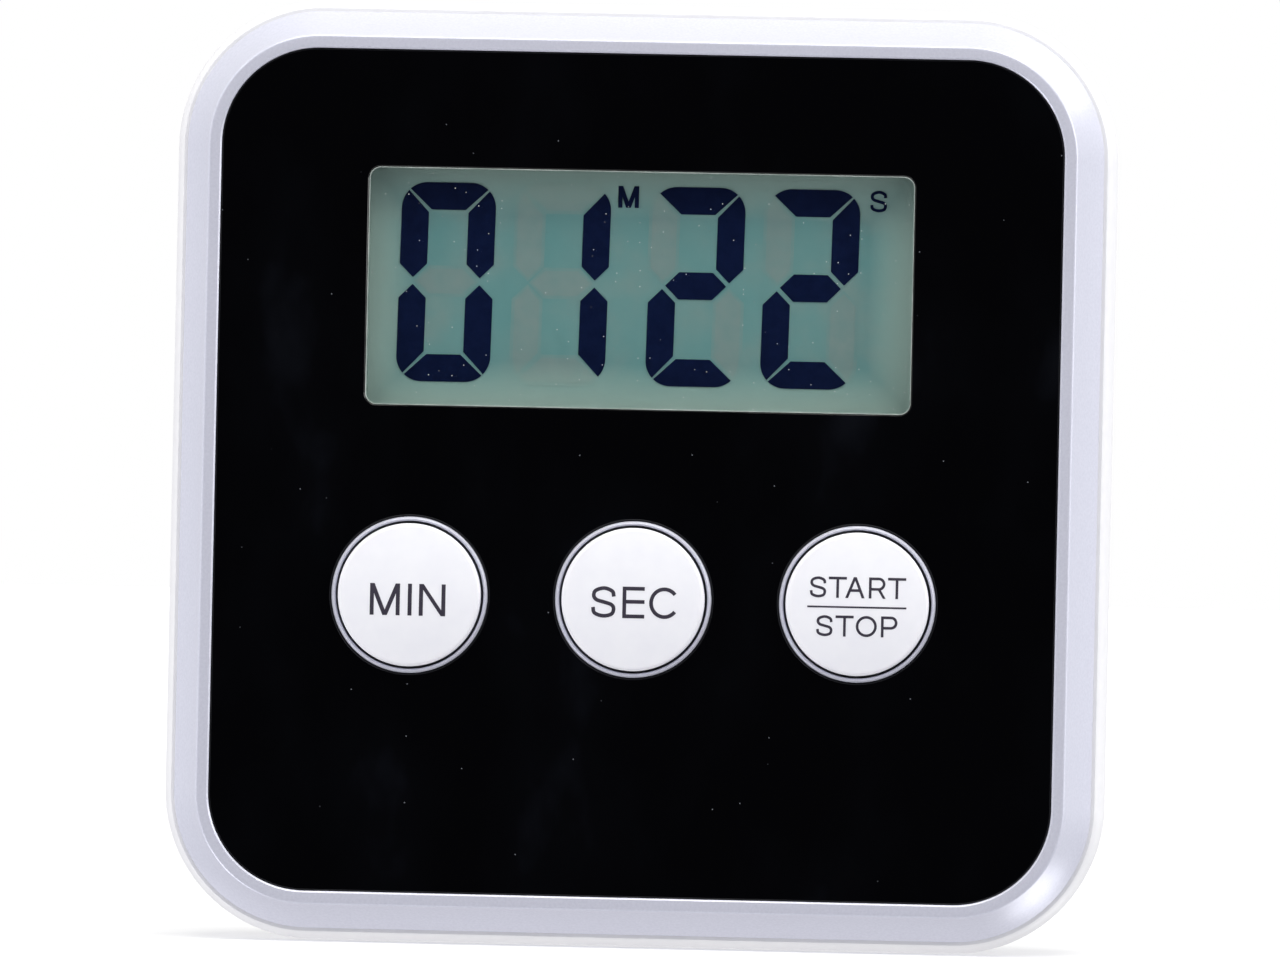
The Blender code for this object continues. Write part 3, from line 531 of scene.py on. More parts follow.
def cell_jacket():
    """The sleeve of the cell: bare steel at the ends, and coloured bands along X."""
    mat = principled("cell_jacket", Metallic=0.35)
    steel, blue, gold = (0.55, 0.55, 0.54), (0.020, 0.055, 0.16), (0.62, 0.48, 0.16)
    bands = [(0.0, steel), (0.02, blue), (0.70, gold), (0.74, blue), (0.965, steel)]
    along = scaled(mat, coordinates(mat)["X"], mm(-21.0, 23.5))
    tinted(mat, along, bands).color_ramp.interpolation = "CONSTANT"
    roughened(mat, noise(mat, 900), (0.3, 0.7), (0.25, 0.4))
    return mat


def board_green():
    """Solder mask over a pattern of tracks."""
    mat = principled("board_green", Roughness=0.35)
    tracks = node(mat, "ShaderNodeTexVoronoi", Scale=420.0, Randomness=0.35)
    tracks.distance = "CHEBYCHEV"
    tracks.feature = "DISTANCE_TO_EDGE"
    link(mat, own_place(mat), tracks.inputs["Vector"])
    distance = tracks.outputs["Distance"]
    tinted(mat, distance, [(0.0, (0.012, 0.10, 0.035)), (0.12, (0.030, 0.22, 0.08))])
    relief(mat, distance, 0.02 * MM)
    return mat


# Finish: its dark and light colour, its roughness, and what else varied() takes
VARIED = {
    "silver_paint": (
        (0.615, 0.625, 0.725), (0.675, 0.685, 0.785), (0.34, 0.42),
        dict(grain=5200, fine=3200, height=0.0008 * MM, Metallic=0.25),
    ),
    "case_white": (
        (0.785, 0.785, 0.81), (0.82, 0.82, 0.84), (0.40, 0.50),
        dict(grain=900, fine=3600, height=0.0015 * MM),
    ),
    "cap_white": (
        (0.875, 0.88, 0.93), (0.905, 0.91, 0.95), (0.30, 0.38),
        dict(grain=700, fine=2500, height=0.0006 * MM),
    ),
    "segment_ink": (
        (0.0025, 0.0070, 0.034), (0.0045, 0.0105, 0.046), (0.35, 0.45),
        dict(grain=1500, Specular_IOR_Level=0.05),
    ),
    "magnet_nickel": (
        (0.58, 0.57, 0.55), (0.66, 0.65, 0.62), (0.18, 0.30),
        dict(grain=1500, fine=2200, height=0.0012 * MM, stretch=(1.0, 1.0, 6.0), Metallic=1.0),
    ),
    "screw_steel": (
        (0.66, 0.66, 0.67), (0.76, 0.76, 0.77), (0.26, 0.36),
        dict(grain=700, fine=1800, height=0.0003 * MM, Metallic=0.9),
    ),
    "zebra_rubber": (
        (0.50, 0.25, 0.28), (0.66, 0.38, 0.40), (0.5, 0.7),
        dict(grain=2500, stretch=(1.0, 0.05, 0.05)),
    ),
    "brass": (
        (0.60, 0.41, 0.15), (0.72, 0.52, 0.22), (0.22, 0.38), dict(stretch=(1, 1, 8), Metallic=1.0),
    ),
    "tape": (
        (0.03, 0.03, 0.03), (0.05, 0.05, 0.05), (0.8, 0.95),
        dict(grain=1500, fine=2500, height=0.01 * MM),
    ),
    "legend_ink": ((0.022, 0.018, 0.034), (0.034, 0.028, 0.046), (0.45, 0.6), dict(grain=2600)),
    # The cement's pale colour also paints the highlight along the window's edge.
    "cement_painted_highlight": ((0.28, 0.34, 0.31), (0.52, 0.57, 0.54), (0.3, 0.5), dict(grain=600)),
    "epoxy": ((0.008, 0.008, 0.010), (0.014, 0.014, 0.017), (0.2, 0.4), dict(grain=400)),
    "silicone": ((0.52, 0.52, 0.50), (0.60, 0.60, 0.57), (0.5, 0.65), dict(Subsurface_Weight=0.1)),
    "tin": ((0.62, 0.62, 0.64), (0.74, 0.74, 0.76), (0.18, 0.32), dict(Metallic=1.0)),
    "spring_steel": ((0.55, 0.53, 0.50), (0.64, 0.62, 0.58), (0.2, 0.35), dict(Metallic=1.0)),
    "lcd_glass": ((0.30, 0.36, 0.35), (0.36, 0.42, 0.41), (0.05, 0.12), {}),
    "lcd_polariser": ((0.16, 0.19, 0.18), (0.20, 0.23, 0.22), (0.1, 0.2), {}),
    "holder_white": ((0.70, 0.70, 0.67), (0.76, 0.76, 0.73), (0.45, 0.6), {}),
    "carbon": ((0.015, 0.015, 0.016), (0.03, 0.03, 0.03), (0.6, 0.8), {}),
    "chip_ceramic": ((0.36, 0.26, 0.17), (0.46, 0.34, 0.23), (0.4, 0.6), {}),
    "chip_black": ((0.012, 0.012, 0.013), (0.02, 0.02, 0.022), (0.4, 0.6), {}),
    "piezo_ceramic": ((0.68, 0.66, 0.60), (0.76, 0.74, 0.69), (0.5, 0.7), {}),
    "wire_red": ((0.42, 0.02, 0.015), (0.52, 0.03, 0.02), (0.35, 0.5), {}),
    "wire_black": ((0.012, 0.012, 0.013), (0.02, 0.02, 0.022), (0.35, 0.5), {}),
}


def make_finishes():
    """One finish for each material slot of the record, and those of the prints and of the cement
    bead, whose pale colour is partly a painted highlight.
    """
    finishes = {name: varied(name, *looks, **more) for name, (*looks, more) in VARIED.items()}
    return finishes | {
        "panel_black": panel_black(), "window_clear": window_clear(),
        "lcd_reflector": display_ground(), "cell_jacket": cell_jacket(),
        "board_green": board_green(),
        "idle_halo": idle_segment("idle_halo", (0.190, 0.342, 0.328), (0.222, 0.350, 0.333)),
        "idle_core": idle_segment("idle_core", (0.215, 0.332, 0.316), (0.250, 0.342, 0.323)),
    }


def dress_frame():
    """Gives every CAD node the finish of its slot."""
    for row in frame["record"]["subparts"]:
        mesh = frame["nodes"][row["node"]].data
        mesh.materials.clear()
        mesh.materials.append(FINISHES[row["material_slot"]])


# ---- front ----


def bezel_slope():
    """The slightly hollow slope from the rim to the parting line, as (distance, depth)."""
    start = Vector((RIM_OUTSIDE + 0.07 * MM, 0.16 * MM))
    end = Vector((BEZEL_HALF - 0.01 * MM, 3.82 * MM))
    across = Vector((start.y - end.y, end.x - start.x)).normalized()
    steps = 8
    points = []
    for step in range(steps + 1):
        t = step / steps
        points.append(tuple(start.lerp(end, t) + across * SLOPE_HOLLOW * 4 * t * (1 - t)))
    return points


def front_profile():
    rim = softened([
        (RIM_INSIDE, WEB_FRONT, 0), (RIM_INSIDE, RIM_CHAMFER, 0.02 * MM),
        (RIM_INSIDE + RIM_CHAMFER, 0.0, 0.02 * MM), (RIM_OUTSIDE, 0.0, 0.16 * MM),
        (*bezel_slope()[1], 0),
    ])
    skirt = [mm(30.3, 4.0), mm(30.25, 6.6), mm(29.3, 6.6), (29.3 * MM, WEB_BACK)]
    return rim + bezel_slope()[2:] + [(BEZEL_HALF - 0.06 * MM, 4.0 * MM), *skirt]


def collar(centre):
    """The ring round a button, with rounded lips."""
    back = WEB_BACK + 0.15 * MM
    profile = softened([
        (COLLAR_OUTSIDE, back, 0), (COLLAR_OUTSIDE, 0.1 * MM, 0.03 * MM),
        (COLLAR_OUTSIDE - 0.12 * MM, -COLLAR_PROUD, 0.04 * MM),
        (COLLAR_INSIDE + 0.06 * MM, -COLLAR_PROUD, 0.03 * MM),
        (COLLAR_INSIDE, 0.05 * MM, 0.03 * MM), (COLLAR_INSIDE, back, 0),
    ])
    return turned("collar", profile, centre, closed=True)


def front_case():
    piece = lofted("bezel", [(case_outline(half), depth) for half, depth in front_profile()])
    through = mm(0.5, 3.5)
    around = rounded_rectangle(APERTURE_HALF_X, APERTURE_HALF_Z, 1.2 * MM, (0, WINDOW_CENTRE))
    middle = (COLLAR_INSIDE + COLLAR_OUTSIDE) / 2
    openings = [rod("opening", middle, through, spot, 48) for spot in KEY_SPOTS.values()]
    cut(piece, plate("aperture", around, through), *openings)
    board_spots = [middle_of(f"board_screw_{number}") for number in (1, 2, 3, 4)]
    board_top = inside_face("circuit_board")[0].y - GAP
    foot = WEB_BACK - 0.3 * MM
    posts, pilots = [], []
    for spots, post, top, pilot, depths in (
        (SCREW_SPOTS, 2.6 * MM, 8.1 * MM, 1.05 * MM, mm(3.2, 9.0)),
        (board_spots, 1.6 * MM, board_top, 0.85 * MM, mm(2.9, 6.5)),
    ):
        posts += [rod("post", post, (foot, top), spot) for spot in spots]
        pilots += [rod("pilot", pilot, depths, spot, 16) for spot in spots]
    unite(piece, *[collar(spot) for spot in KEY_SPOTS.values()], *posts)
    cut(piece, *pilots)
    show(piece, "silver_paint", "casing", ["front_case"])


def face_panel():
    """The glossy panel, with a polished edge round its outline and openings."""
    low, high = inside_face("face_panel")
    half, front, back = high.x, low.y, high.y
    edge = 0.07 * MM
    piece = lofted(
        "panel",
        [
            (case_outline(half - edge), front), (case_outline(half), front + edge),
            (case_outline(half), back),
        ],
    )
    bore = COLLAR_OUTSIDE + 0.08 * MM
    openings = [window_outline]
    for spot in KEY_SPOTS.values():
        openings.append(lambda growth, spot=spot: circle(bore + growth, spot))
    cutters = []
    for outline in openings:
        rows = [
            (outline(edge + BEYOND), front - BEYOND), (outline(0.0), front + edge),
            (outline(0.0), back + BEYOND),
        ]
        cutters.append(lofted("opening", rows))
    cut(piece, *cutters)
    show(piece, "panel_black", "casing", ["face_panel"])


def display_window():
    """The clear window, whose boss fills the panel's opening."""
    low, high = inside_face("lcd_window")
    edge = 0.05 * MM
    step_depth = 1.23 * MM
    inset = 0.3 * MM
    flange = rounded_rectangle(
        APERTURE_HALF_X - inset, APERTURE_HALF_Z - inset, 1.0 * MM, (0, WINDOW_CENTRE)
    )
    boss = lofted(
        "window",
        [
            (window_outline(-WINDOW_PLAY - edge), low.y),
            (window_outline(-WINDOW_PLAY), low.y + edge),
            (window_outline(-WINDOW_PLAY), step_depth + 0.3 * MM),
        ],
    )
    unite(boss, plate("flange", flange, (step_depth, high.y)))
    show(boss, "window_clear", "casing", ["lcd_window"])


def window_edge_bead_highlight():
    """The bead of cement between the window and the panel, whose pale colour also paints the
    highlight along the window's edge.
    """
    back, shoulder, front = mm(0.9, 0.19, 0.16)
    inside, outside = 0.01 * MM - WINDOW_PLAY, -0.01 * MM
    rows = [
        (window_outline(inside), back), (window_outline(inside), shoulder),
        (window_outline((inside + outside) / 2), front), (window_outline(outside), shoulder),
        (window_outline(outside), back),
    ]
    piece = lofted("window_edge_bead_highlight", rows, ring=True)
    show(piece, "cement_painted_highlight", "casing")


# ---- display ----

# In millimetres, top and bottom measured from the middle line
DIGIT_WIDTH, DIGIT_TOP, DIGIT_BOTTOM = 6.49, 6.80, 6.93
DIGIT_STROKE, DIGIT_CORNER, DIGIT_GAP = 1.88, 1.75, 0.27
DIGIT_SLANT = math.tan(math.radians(1.0))
DIGIT_MIDDLE = 13.15
DIGIT_PLACES = (-13.48, -5.54, 3.73, 11.64)
SHOWN = ("abcdef", "bc", "abged", "abged")  # the time 01:22


def digit_segments():
    """The seven segments of a digit, as outlines in millimetres about its middle."""
    half = DIGIT_WIDTH / 2
    stroke = DIGIT_STROKE
    corner = DIGIT_CORNER
    gap = DIGIT_GAP / math.sqrt(2)
    # Each corner of the ring is a quarter turn, which the slanting gap cuts in two.
    cut_angle = 45 - math.degrees(math.acos(gap / (corner * math.sqrt(2)))) + 45
    tip = stroke / 2
    shapes = {}
    for side, above, below in ((-1, "f", "e"), (1, "b", "c")):
        for height, way, name in ((DIGIT_TOP, 1, above), (DIGIT_BOTTOM, -1, below)):
            turn = arc((half - corner, height - corner), corner, 0, 45 - cut_angle / 2, 6)
            outline = [
                *turn, (half - stroke, height - stroke - gap), (half - stroke, gap * 1.25 + tip),
                (half - tip, gap * 1.25), (half, gap * 1.25 + tip),
            ]
            shapes[name] = [(side * x, way * z) for x, z in outline]
    for height, way, name in ((DIGIT_TOP, 1, "a"), (DIGIT_BOTTOM, -1, "d")):
        turn = arc((half - corner, height - corner), corner, 45 + cut_angle / 2, 90, 6)
        right = [(half - stroke - gap, height - stroke), *turn]
        outline = right + [(-x, z) for x, z in reversed(right)]
        shapes[name] = [(x, way * z) for x, z in outline]
    reach = half - tip - gap * 1.05
    shapes["g"] = [
        (reach, 0), (reach - tip, tip), (tip - reach, tip), (-reach, 0), (tip - reach, -tip),
        (reach - tip, -tip),
    ]
    return shapes


def facing(polygon):
    """The polygon counter-clockwise."""
    area = sum(a[0] * b[1] - b[0] * a[1] for a, b in zip(polygon, polygon[1:] + polygon[:1]))
    return polygon if area > 0 else polygon[::-1]


def printed(name, polygons, depth_at, thickness, grid=None):
    """Thin ink in the shape of the polygons, in millimetres, laid on a surface."""
    points, faces = [], []
    for polygon in polygons:
        faces.append(list(range(len(points), len(points) + len(polygon))))
        points += [Vector(point) for point in facing(polygon)]
    verts, _, triangles, _, _, sources = delaunay_2d_cdt(points, [], faces, 1, 1e-5)
    bm = bmesh.new()
    made = [bm.verts.new((vert.x * MM, 0, vert.y * MM)) for vert in verts]
    for triangle, source in zip(triangles, sources):
        if source:
            bm.faces.new([made[i] for i in triangle])
    for axis in (0, 2) if grid else ():
        places = [vert.co[axis] for vert in bm.verts]
        line = math.ceil(min(places) / grid) * grid
        while line < max(places):
            everything = bm.verts[:] + bm.edges[:] + bm.faces[:]
            spot = Vector((line if axis == 0 else 0, 0, line if axis == 2 else 0))
            way = Vector((axis == 0, 0, axis == 2))
            bmesh.ops.bisect_plane(bm, geom=everything, dist=1e-9, plane_co=spot, plane_no=way)
            line += grid
    for vert in bm.verts:
        vert.co.y = depth_at(vert.co.x, vert.co.z)
    back = bmesh.ops.extrude_face_region(bm, geom=bm.faces[:])
    moved = [item for item in back["geom"] if isinstance(item, bmesh.types.BMVert)]
    bmesh.ops.translate(bm, verts=moved, vec=(0, thickness, 0))
    return object_from(name, bm)


def grown(polygon, growth):
    """The polygon with its sides moved outwards by about growth."""
    polygon = [Vector(point) for point in facing(polygon)]
    moved = []
    for before, here, after in zip(polygon[-1:] + polygon, polygon, polygon[1:] + polygon[:1]):
        ahead = (here - before).normalized() + (after - here).normalized()
        moved.append(tuple(here + Vector((ahead.y, -ahead.x)).normalized() * growth))
    return moved


def slanted(outline, place):
    return [(place + x + z * DIGIT_SLANT, DIGIT_MIDDLE + z) for x, z in outline]


def display():
    """The laminated cell, with its idle and lit segments and the two unit letters on its face."""
    low, high = inside_face("lcd_front_polariser")
    back = inside_face("lcd_rear_polariser")[1].y
    half_x, half_z = high.x, (high.z - low.z) / 2
    edge = 0.05 * MM
    rows = []
    for inset, depth in ((edge, low.y), (0.0, low.y + edge), (0.0, back)):
        outline = rounded_rectangle(half_x - inset, half_z - inset, 0.2 * MM, (0, WINDOW_CENTRE))
        rows.append((outline, depth))
    layers = ["lcd_front_polariser", "lcd_front_glass", "lcd_rear_glass", "lcd_rear_polariser"]
    cell = lofted("display_cell", rows)
    show(cell, "lcd_reflector", "casing", layers)
    segments = digit_segments()
    lit, idle = [], []
    for place, names in zip(DIGIT_PLACES, SHOWN):
        for name, outline in segments.items():
            (lit if name in names else idle).append(slanted(outline, place))
    lit += placed("M", 0.19, -1.72, 18.45, 1.50) + placed("S", 0.14, 15.64, 18.48, 1.48)
    for name, shapes, lift, ink in (
        ("segments_idle_halo", [grown(outline, 0.14) for outline in idle], 0.014, "idle_halo"),
        ("segments_idle", [grown(outline, -0.1) for outline in idle], 0.028, "idle_core"),
        ("segments_lit", lit, 0.042, "segment_ink"),
    ):
        piece = printed(name, shapes, lambda x, z, lift=lift: low.y - lift * MM, INK)
        show(piece, ink, "casing", weighted=False)


# ---- letters ----


def bar(left, right, low, high):
    return [(left, low), (right, low), (right, high), (left, high)]


def slash(foot, head, low, high, width):
    """A leaning bar with level ends."""
    half = width / 2
    return [(foot - half, low), (foot + half, low), (head + half, high), (head - half, high)]


def ribbon(points, width):
    """A stroke of even width along a line of points."""
    points = [Vector(point) for point in points]
    left, right = [], []
    for i, point in enumerate(points):
        ahead = (points[min(i + 1, len(points) - 1)] - points[max(i - 1, 0)]).normalized()
        side = Vector((-ahead.y, ahead.x)) * width / 2
        left.append(tuple(point + side))
        right.append(tuple(point - side))
    return left + right[::-1]


def letter(name, pen):
    """The width and the strokes of a plain capital one unit high, drawn with a pen this wide."""
    half = pen / 2
    if name == "I":
        return pen, [bar(0, pen, 0, 1)]
    if name in "MN":
        width = 0.95 if name == "M" else 0.83
        legs = [bar(0, pen, 0, 1), bar(width - pen, width, 0, 1)]
        lean = pen * 1.12
        left, right = lean / 2, width - lean / 2
        if name == "N":
            return width, legs + [slash(right, left, 0, 1, lean)]
        return width, legs + [slash(width / 2, x, 0, 1, lean) for x in (left, right)]
    if name == "E":
        width = 0.70
        arms = [bar(half, width, low, low + pen) for low in (0, 0.5 - half * 0.6, 1 - pen)]
        return width, [bar(0, pen, 0, 1), *arms]
    if name == "T":
        width = 0.86
        stem = bar((width - pen) / 2, (width + pen) / 2, 0, 1 - half)
        return width, [bar(0, width, 1 - pen, 1), stem]
    if name == "A":
        width = 0.92
        lean = pen * 1.08
        legs = [slash(x, width / 2, 0, 1, lean) for x in (lean / 2, width - lean / 2)]
        return width, [*legs, bar(0.22, width - 0.22, 0.30, 0.30 + pen)]
    if name in "PR":
        width = 0.78
        waist = 0.44
        radius = (1 - half - waist) / 2
        turn = arc((width - half - radius, 1 - half - radius), radius, 90, -90, 12)
        strokes = [bar(0, pen, 0, 1), ribbon([(half, 1 - half), *turn, (half, waist)], pen)]
        if name == "R":
            strokes.append(slash(width - half * 0.7, width - 0.32, 0, 0.46, pen * 1.08))
        return width, strokes
    if name == "O":
        turns = [arc((0.5, 0.5), 0.5 - half, start, start + 182, 24) for start in (0, 180)]
        return 1.0, [ribbon(turn, pen) for turn in turns]
    if name == "C":
        return 0.86, [ribbon(arc((0.48, 0.5), (0.48 - half, 0.5 - half), 38, 322, 32), pen)]
    width = 0.80  # S
    bends = [(0.97, 0.70), (0.90, 0.89), (0.52, 1.0), (0.12, 0.91), (0.03, 0.73), (0.16, 0.58)]
    bends += [(0.50, 0.50), (0.86, 0.41), (0.97, 0.26), (0.87, 0.07), (0.48, 0.0), (0.08, 0.10)]
    bends.append((0.0, 0.31))
    path = [(half + x * (width - pen), half + z * (1 - pen)) for x, z in bends]
    return width, [ribbon(curve_through(path, 5), pen)]


def placed(name, pen, left, low, height):
    """The strokes of a letter, in millimetres, from its lower left corner."""
    _, strokes = letter(name, pen)
    return [[(left + x * height, low + z * height) for x, z in stroke] for stroke in strokes]


def word(text, gaps, pen, left, low, height):
    """The strokes of a word, with the gaps after its letters given in letter heights."""
    strokes = []
    for name, gap in zip(text, (*gaps, 0.0)):
        strokes += placed(name, pen, left, low, height)
        left += (letter(name, pen)[0] + gap) * height
    return strokes


LEGENDS = {
    "min": word("MIN", (0.25, 0.23), 0.125, -18.06, -9.92, 2.18),
    "sec": word("SEC", (0.20, 0.15), 0.118, -2.84, -9.78, 2.16),
    "start_stop": [
        *word("START", (0.10, -0.06, 0.20, 0.12), 0.125, 12.15, -8.07, 1.44),
        bar(12.0, 18.8, -8.76, -8.64),
        *word("STOP", (0.12, 0.11, 0.20), 0.125, 12.64, -10.72, 1.44),
    ],
}


# ---- buttons ----


def cap_depth(radius):
    """Depth of the dome of a cap at this distance from its axis."""
    proud = inside_face("button_min")[0].y + 0.02 * MM
    return proud + CAP_RISE * (radius / (CAP_RADIUS - CAP_FILLET)) ** 2


def cap_profile():
    low, high = inside_face("button_min")
    flange = (high.x - low.x) / 2
    flange_front, skirt_back, inner = mm(2.73, 3.3, 0.6)
    skirt, stem = mm(3.9, 2.2)
    rise = CAP_RADIUS - CAP_FILLET
    points = [(rise * step / 12, cap_depth(rise * step / 12)) for step in range(13)]
    for step in range(1, 7):
        turn = math.pi / 2 * step / 6
        down = CAP_FILLET * (1 - math.cos(turn))
        points.append((rise + CAP_FILLET * math.sin(turn), cap_depth(rise) + down))
    return points + [
        (CAP_RADIUS, flange_front), (flange, flange_front), (flange, skirt_back),
        (skirt, skirt_back), (skirt - 0.1 * MM, inner), (stem, inner), (stem, high.y),
        (0.0, high.y),
    ]


def dome_profile(key):
    """A silicone dome: a pad under the cap, a sloping wall and a foot on the board."""
    low, high = inside_face(f"dome_{key}")
    top, foot = low.y, high.y
    half = (high.x - low.x) / 2
    outside = softened([
        (0.0, top, 0), (2.45 * MM, top, 0.25 * MM), (3.9 * MM, foot - 0.45 * MM, 0.3 * MM),
        (half, foot - 0.4 * MM, 0.1 * MM), (half, foot, 0),
    ])
    return outside + [
        (3.9 * MM, foot), (3.3 * MM, foot - 0.4 * MM), (2.1 * MM, top + 0.6 * MM),
        (0.0, top + 0.6 * MM),
    ]


def buttons():
    for key, (x, z) in KEY_SPOTS.items():
        body = f"{key}_key"
        cap = turned(f"cap_{key}", cap_profile(), (x, z))
        show(cap, "cap_white", body, [f"button_{key}"])

        def on_cap(at_x, at_z, x=x, z=z):
            return cap_depth(math.hypot(at_x - x, at_z - z)) - INK

        legend = printed(f"legend_{key}", LEGENDS[key], on_cap, *mm(0.03, 0.4))
        show(legend, "legend_ink", body, weighted=False)
        dome = turned(f"rubber_dome_{key}", dome_profile(key), (x, z), 64)
        show(dome, "silicone", body, [f"dome_{key}"])
        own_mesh(dome)


# ---- back ----


def rear_outside():
    """The outside of the rear case, from its front edge to its flat back."""
    flank = [(31.72, 4.04), (31.9, 4.06), (32.02, 4.2), (32.16, 4.55), (32.38, 5.3), (32.5, 6.5)]
    shoulder = [(32.5, 13.0), (32.3, 14.3), (31.75, 15.6), (30.95, 16.7), (30.0, 17.55), (29, 18)]
    points = flank + curve_through(shoulder, 3)
    return [(min(half * MM, BODY_HALF), min(depth * MM, DEPTH)) for half, depth in points]


def door_slot():
    """What the sliding door takes from the back: a T-slot that is open at the right."""
    low, high = inside_face("battery_door")
    left, right = low.x - 0.15 * MM, high.x + 2 * BEYOND
    middle = (low.z + high.z) / 2
    centre = ((left + right) / 2, middle)
    wide = TONGUE_HALF + GAP
    depths = (DOOR_INSIDE - GAP, TONGUE_TOP + GAP)
    return [
        block("slot", (left, right), depths, (middle - wide, middle + wide)),
        pocket((right - left) / 2, DOOR_HALF + GAP, 0.3 * MM, centre, DOOR_INSIDE, 0.1 * MM),
    ]


def stand_recess():
    low, high = inside_face("kickstand")
    bottom, top = low.z - 0.3 * MM, 6.5 * MM
    middle = (0, (top + bottom) / 2)
    under = (0, bottom - 1.4 * MM)
    cutters = [
        pocket(STAND_HALF + 0.4 * MM, (top - bottom) / 2, 0.5 * MM, middle, STAND_FLOOR),
        pocket(*mm(6.0, 3.4, 2.0), under, STAND_FLOOR + 0.02 * MM),  # the finger notch
    ]
    for side in (-1, 1):
        pin = rod("hole", STAND_PIN + 0.08 * MM, mm(side * 12.5, side * 14.6), steps=24)
        pin.data.transform(Matrix.Rotation(math.pi / 2, 4, "Z"))
        pin.data.transform(Matrix.Translation((0, STAND_AXIS_Y, STAND_AXIS_Z)))
        cutters.append(pin)
    return cutters


def rear_case():
    inside = [mm(28.6, 16.6), mm(29.6, 15.6), mm(30.7, 13.4), mm(30.6, 4.04)]
    rows = [(case_outline(half), depth) for half, depth in (*inside, *rear_outside())]
    piece = lofted("rear_case", rows)
    under, into = mm(14.6, 17.0)
    wall = 1.0 * MM
    bay_low, bay_high = BAY_MIDDLE - BAY_HALF_Z, BAY_MIDDLE + BAY_HALF_Z
    sounder = middle_of("piezo_brass_disc")
    ring = [(11.2, 14.8), (11.2, 12.8), (10.2, 12.8), (10.2, 13.9), (9.1, 13.9), (9.1, 14.8)]
    solids = [
        block("stand_pad", mm(-16, 16), (under, into), mm(-30, 8)),
        block("door_pad", mm(-27.9, 30), (15.4 * MM, into), mm(7.3, 23.5)),
        block(
            "bay", (-BAY_HALF_X - wall, BAY_HALF_X + wall), (BAY_FLOOR - 0.7 * MM, into),
            (bay_low - wall, bay_high + wall),
        ),
        turned("ring", [mm(*point) for point in ring], sounder, 64, closed=True),
        *[rod("pad", 6.3 * MM, (under, into), spot, 48) for spot in MAGNET_SPOTS],
        *[rod("boss", 2.9 * MM, (8.3 * MM, into), spot) for spot in SCREW_SPOTS],
    ]
    unite(piece, *solids)
    cutters = [
        block("bay", (-BAY_HALF_X, BAY_HALF_X), (BAY_FLOOR, DEPTH + BEYOND), (bay_low, bay_high)),
        *stand_recess(), *door_slot(),
        *[well(5.15 * MM, spot, MAGNET_FLOOR, 0.2 * MM) for spot in MAGNET_SPOTS],
        *[well(COUNTERBORE, spot, COUNTERBORE_FLOOR, 0.2 * MM, 48) for spot in SCREW_SPOTS],
        *[rod("clear_hole", 1.2 * MM, mm(8.0, 10.5), spot, 24) for spot in SCREW_SPOTS],
    ]
    for x in (-24.85, 24.35):  # where the ends of the battery contacts pass through
        high = (bay_low - 2 * MM, bay_low + 1 * MM)
        cutters.append(block("contact_slot", mm(x - 0.45, x + 0.45), mm(8.8, 11.4), high))
    holes = [sounder, *circle(3.4 * MM, sounder, 6)]
    cutters += [rod("sound_hole", 0.75 * MM, mm(14.0, 16.5), spot, 24) for spot in holes]
    cut(piece, *cutters)
    show(piece, "case_white", "casing", ["back_cover"])


def battery_door():
    """Cut from the rear case's own form, with thumb grooves and an arrow for the way it slides."""
    low, high = inside_face("battery_door")
    middle = (low.z + high.z) / 2
    left, right = low.x, high.x + BEYOND
    piece = lofted("door", [(case_outline(half), depth) for half, depth in rear_outside()])
    edge = 0.1 * MM
    beyond = DEPTH + BEYOND
    rows = []
    for inset, depth in ((0.0, DOOR_INSIDE), (0.0, DEPTH - edge), (edge, DEPTH), (edge, beyond)):
        size = (right - left) / 2 - inset, DOOR_HALF - inset, 0.25 * MM
        rows.append((rounded_rectangle(*size, ((left + right) / 2 + inset, middle), 4), depth))
    tongue_z = (middle - TONGUE_HALF, middle + TONGUE_HALF)
    tongue = block("tongue", (left, right), (DOOR_INSIDE, TONGUE_TOP), tongue_z)
    combine(piece, [unite(lofted("body", rows), tongue)], "INTERSECT")
    grooves = [
        pocket(*mm(0.3, 3.5, 0.29), (x * MM, middle), DEPTH - 0.35 * MM, 0.1 * MM)
        for x in (18.8, 20.4, 22.0, 23.6, 25.2)
    ]
    tip, tail, half = mm(15.6, 13.0, 2.2)
    head = [(tip, middle), (tail, middle + half), (tail, middle - half)]
    cut(piece, *grooves, plate("arrow", head, (DEPTH - 0.5 * MM, beyond)))
    show(piece, "case_white", "door", ["battery_door"])


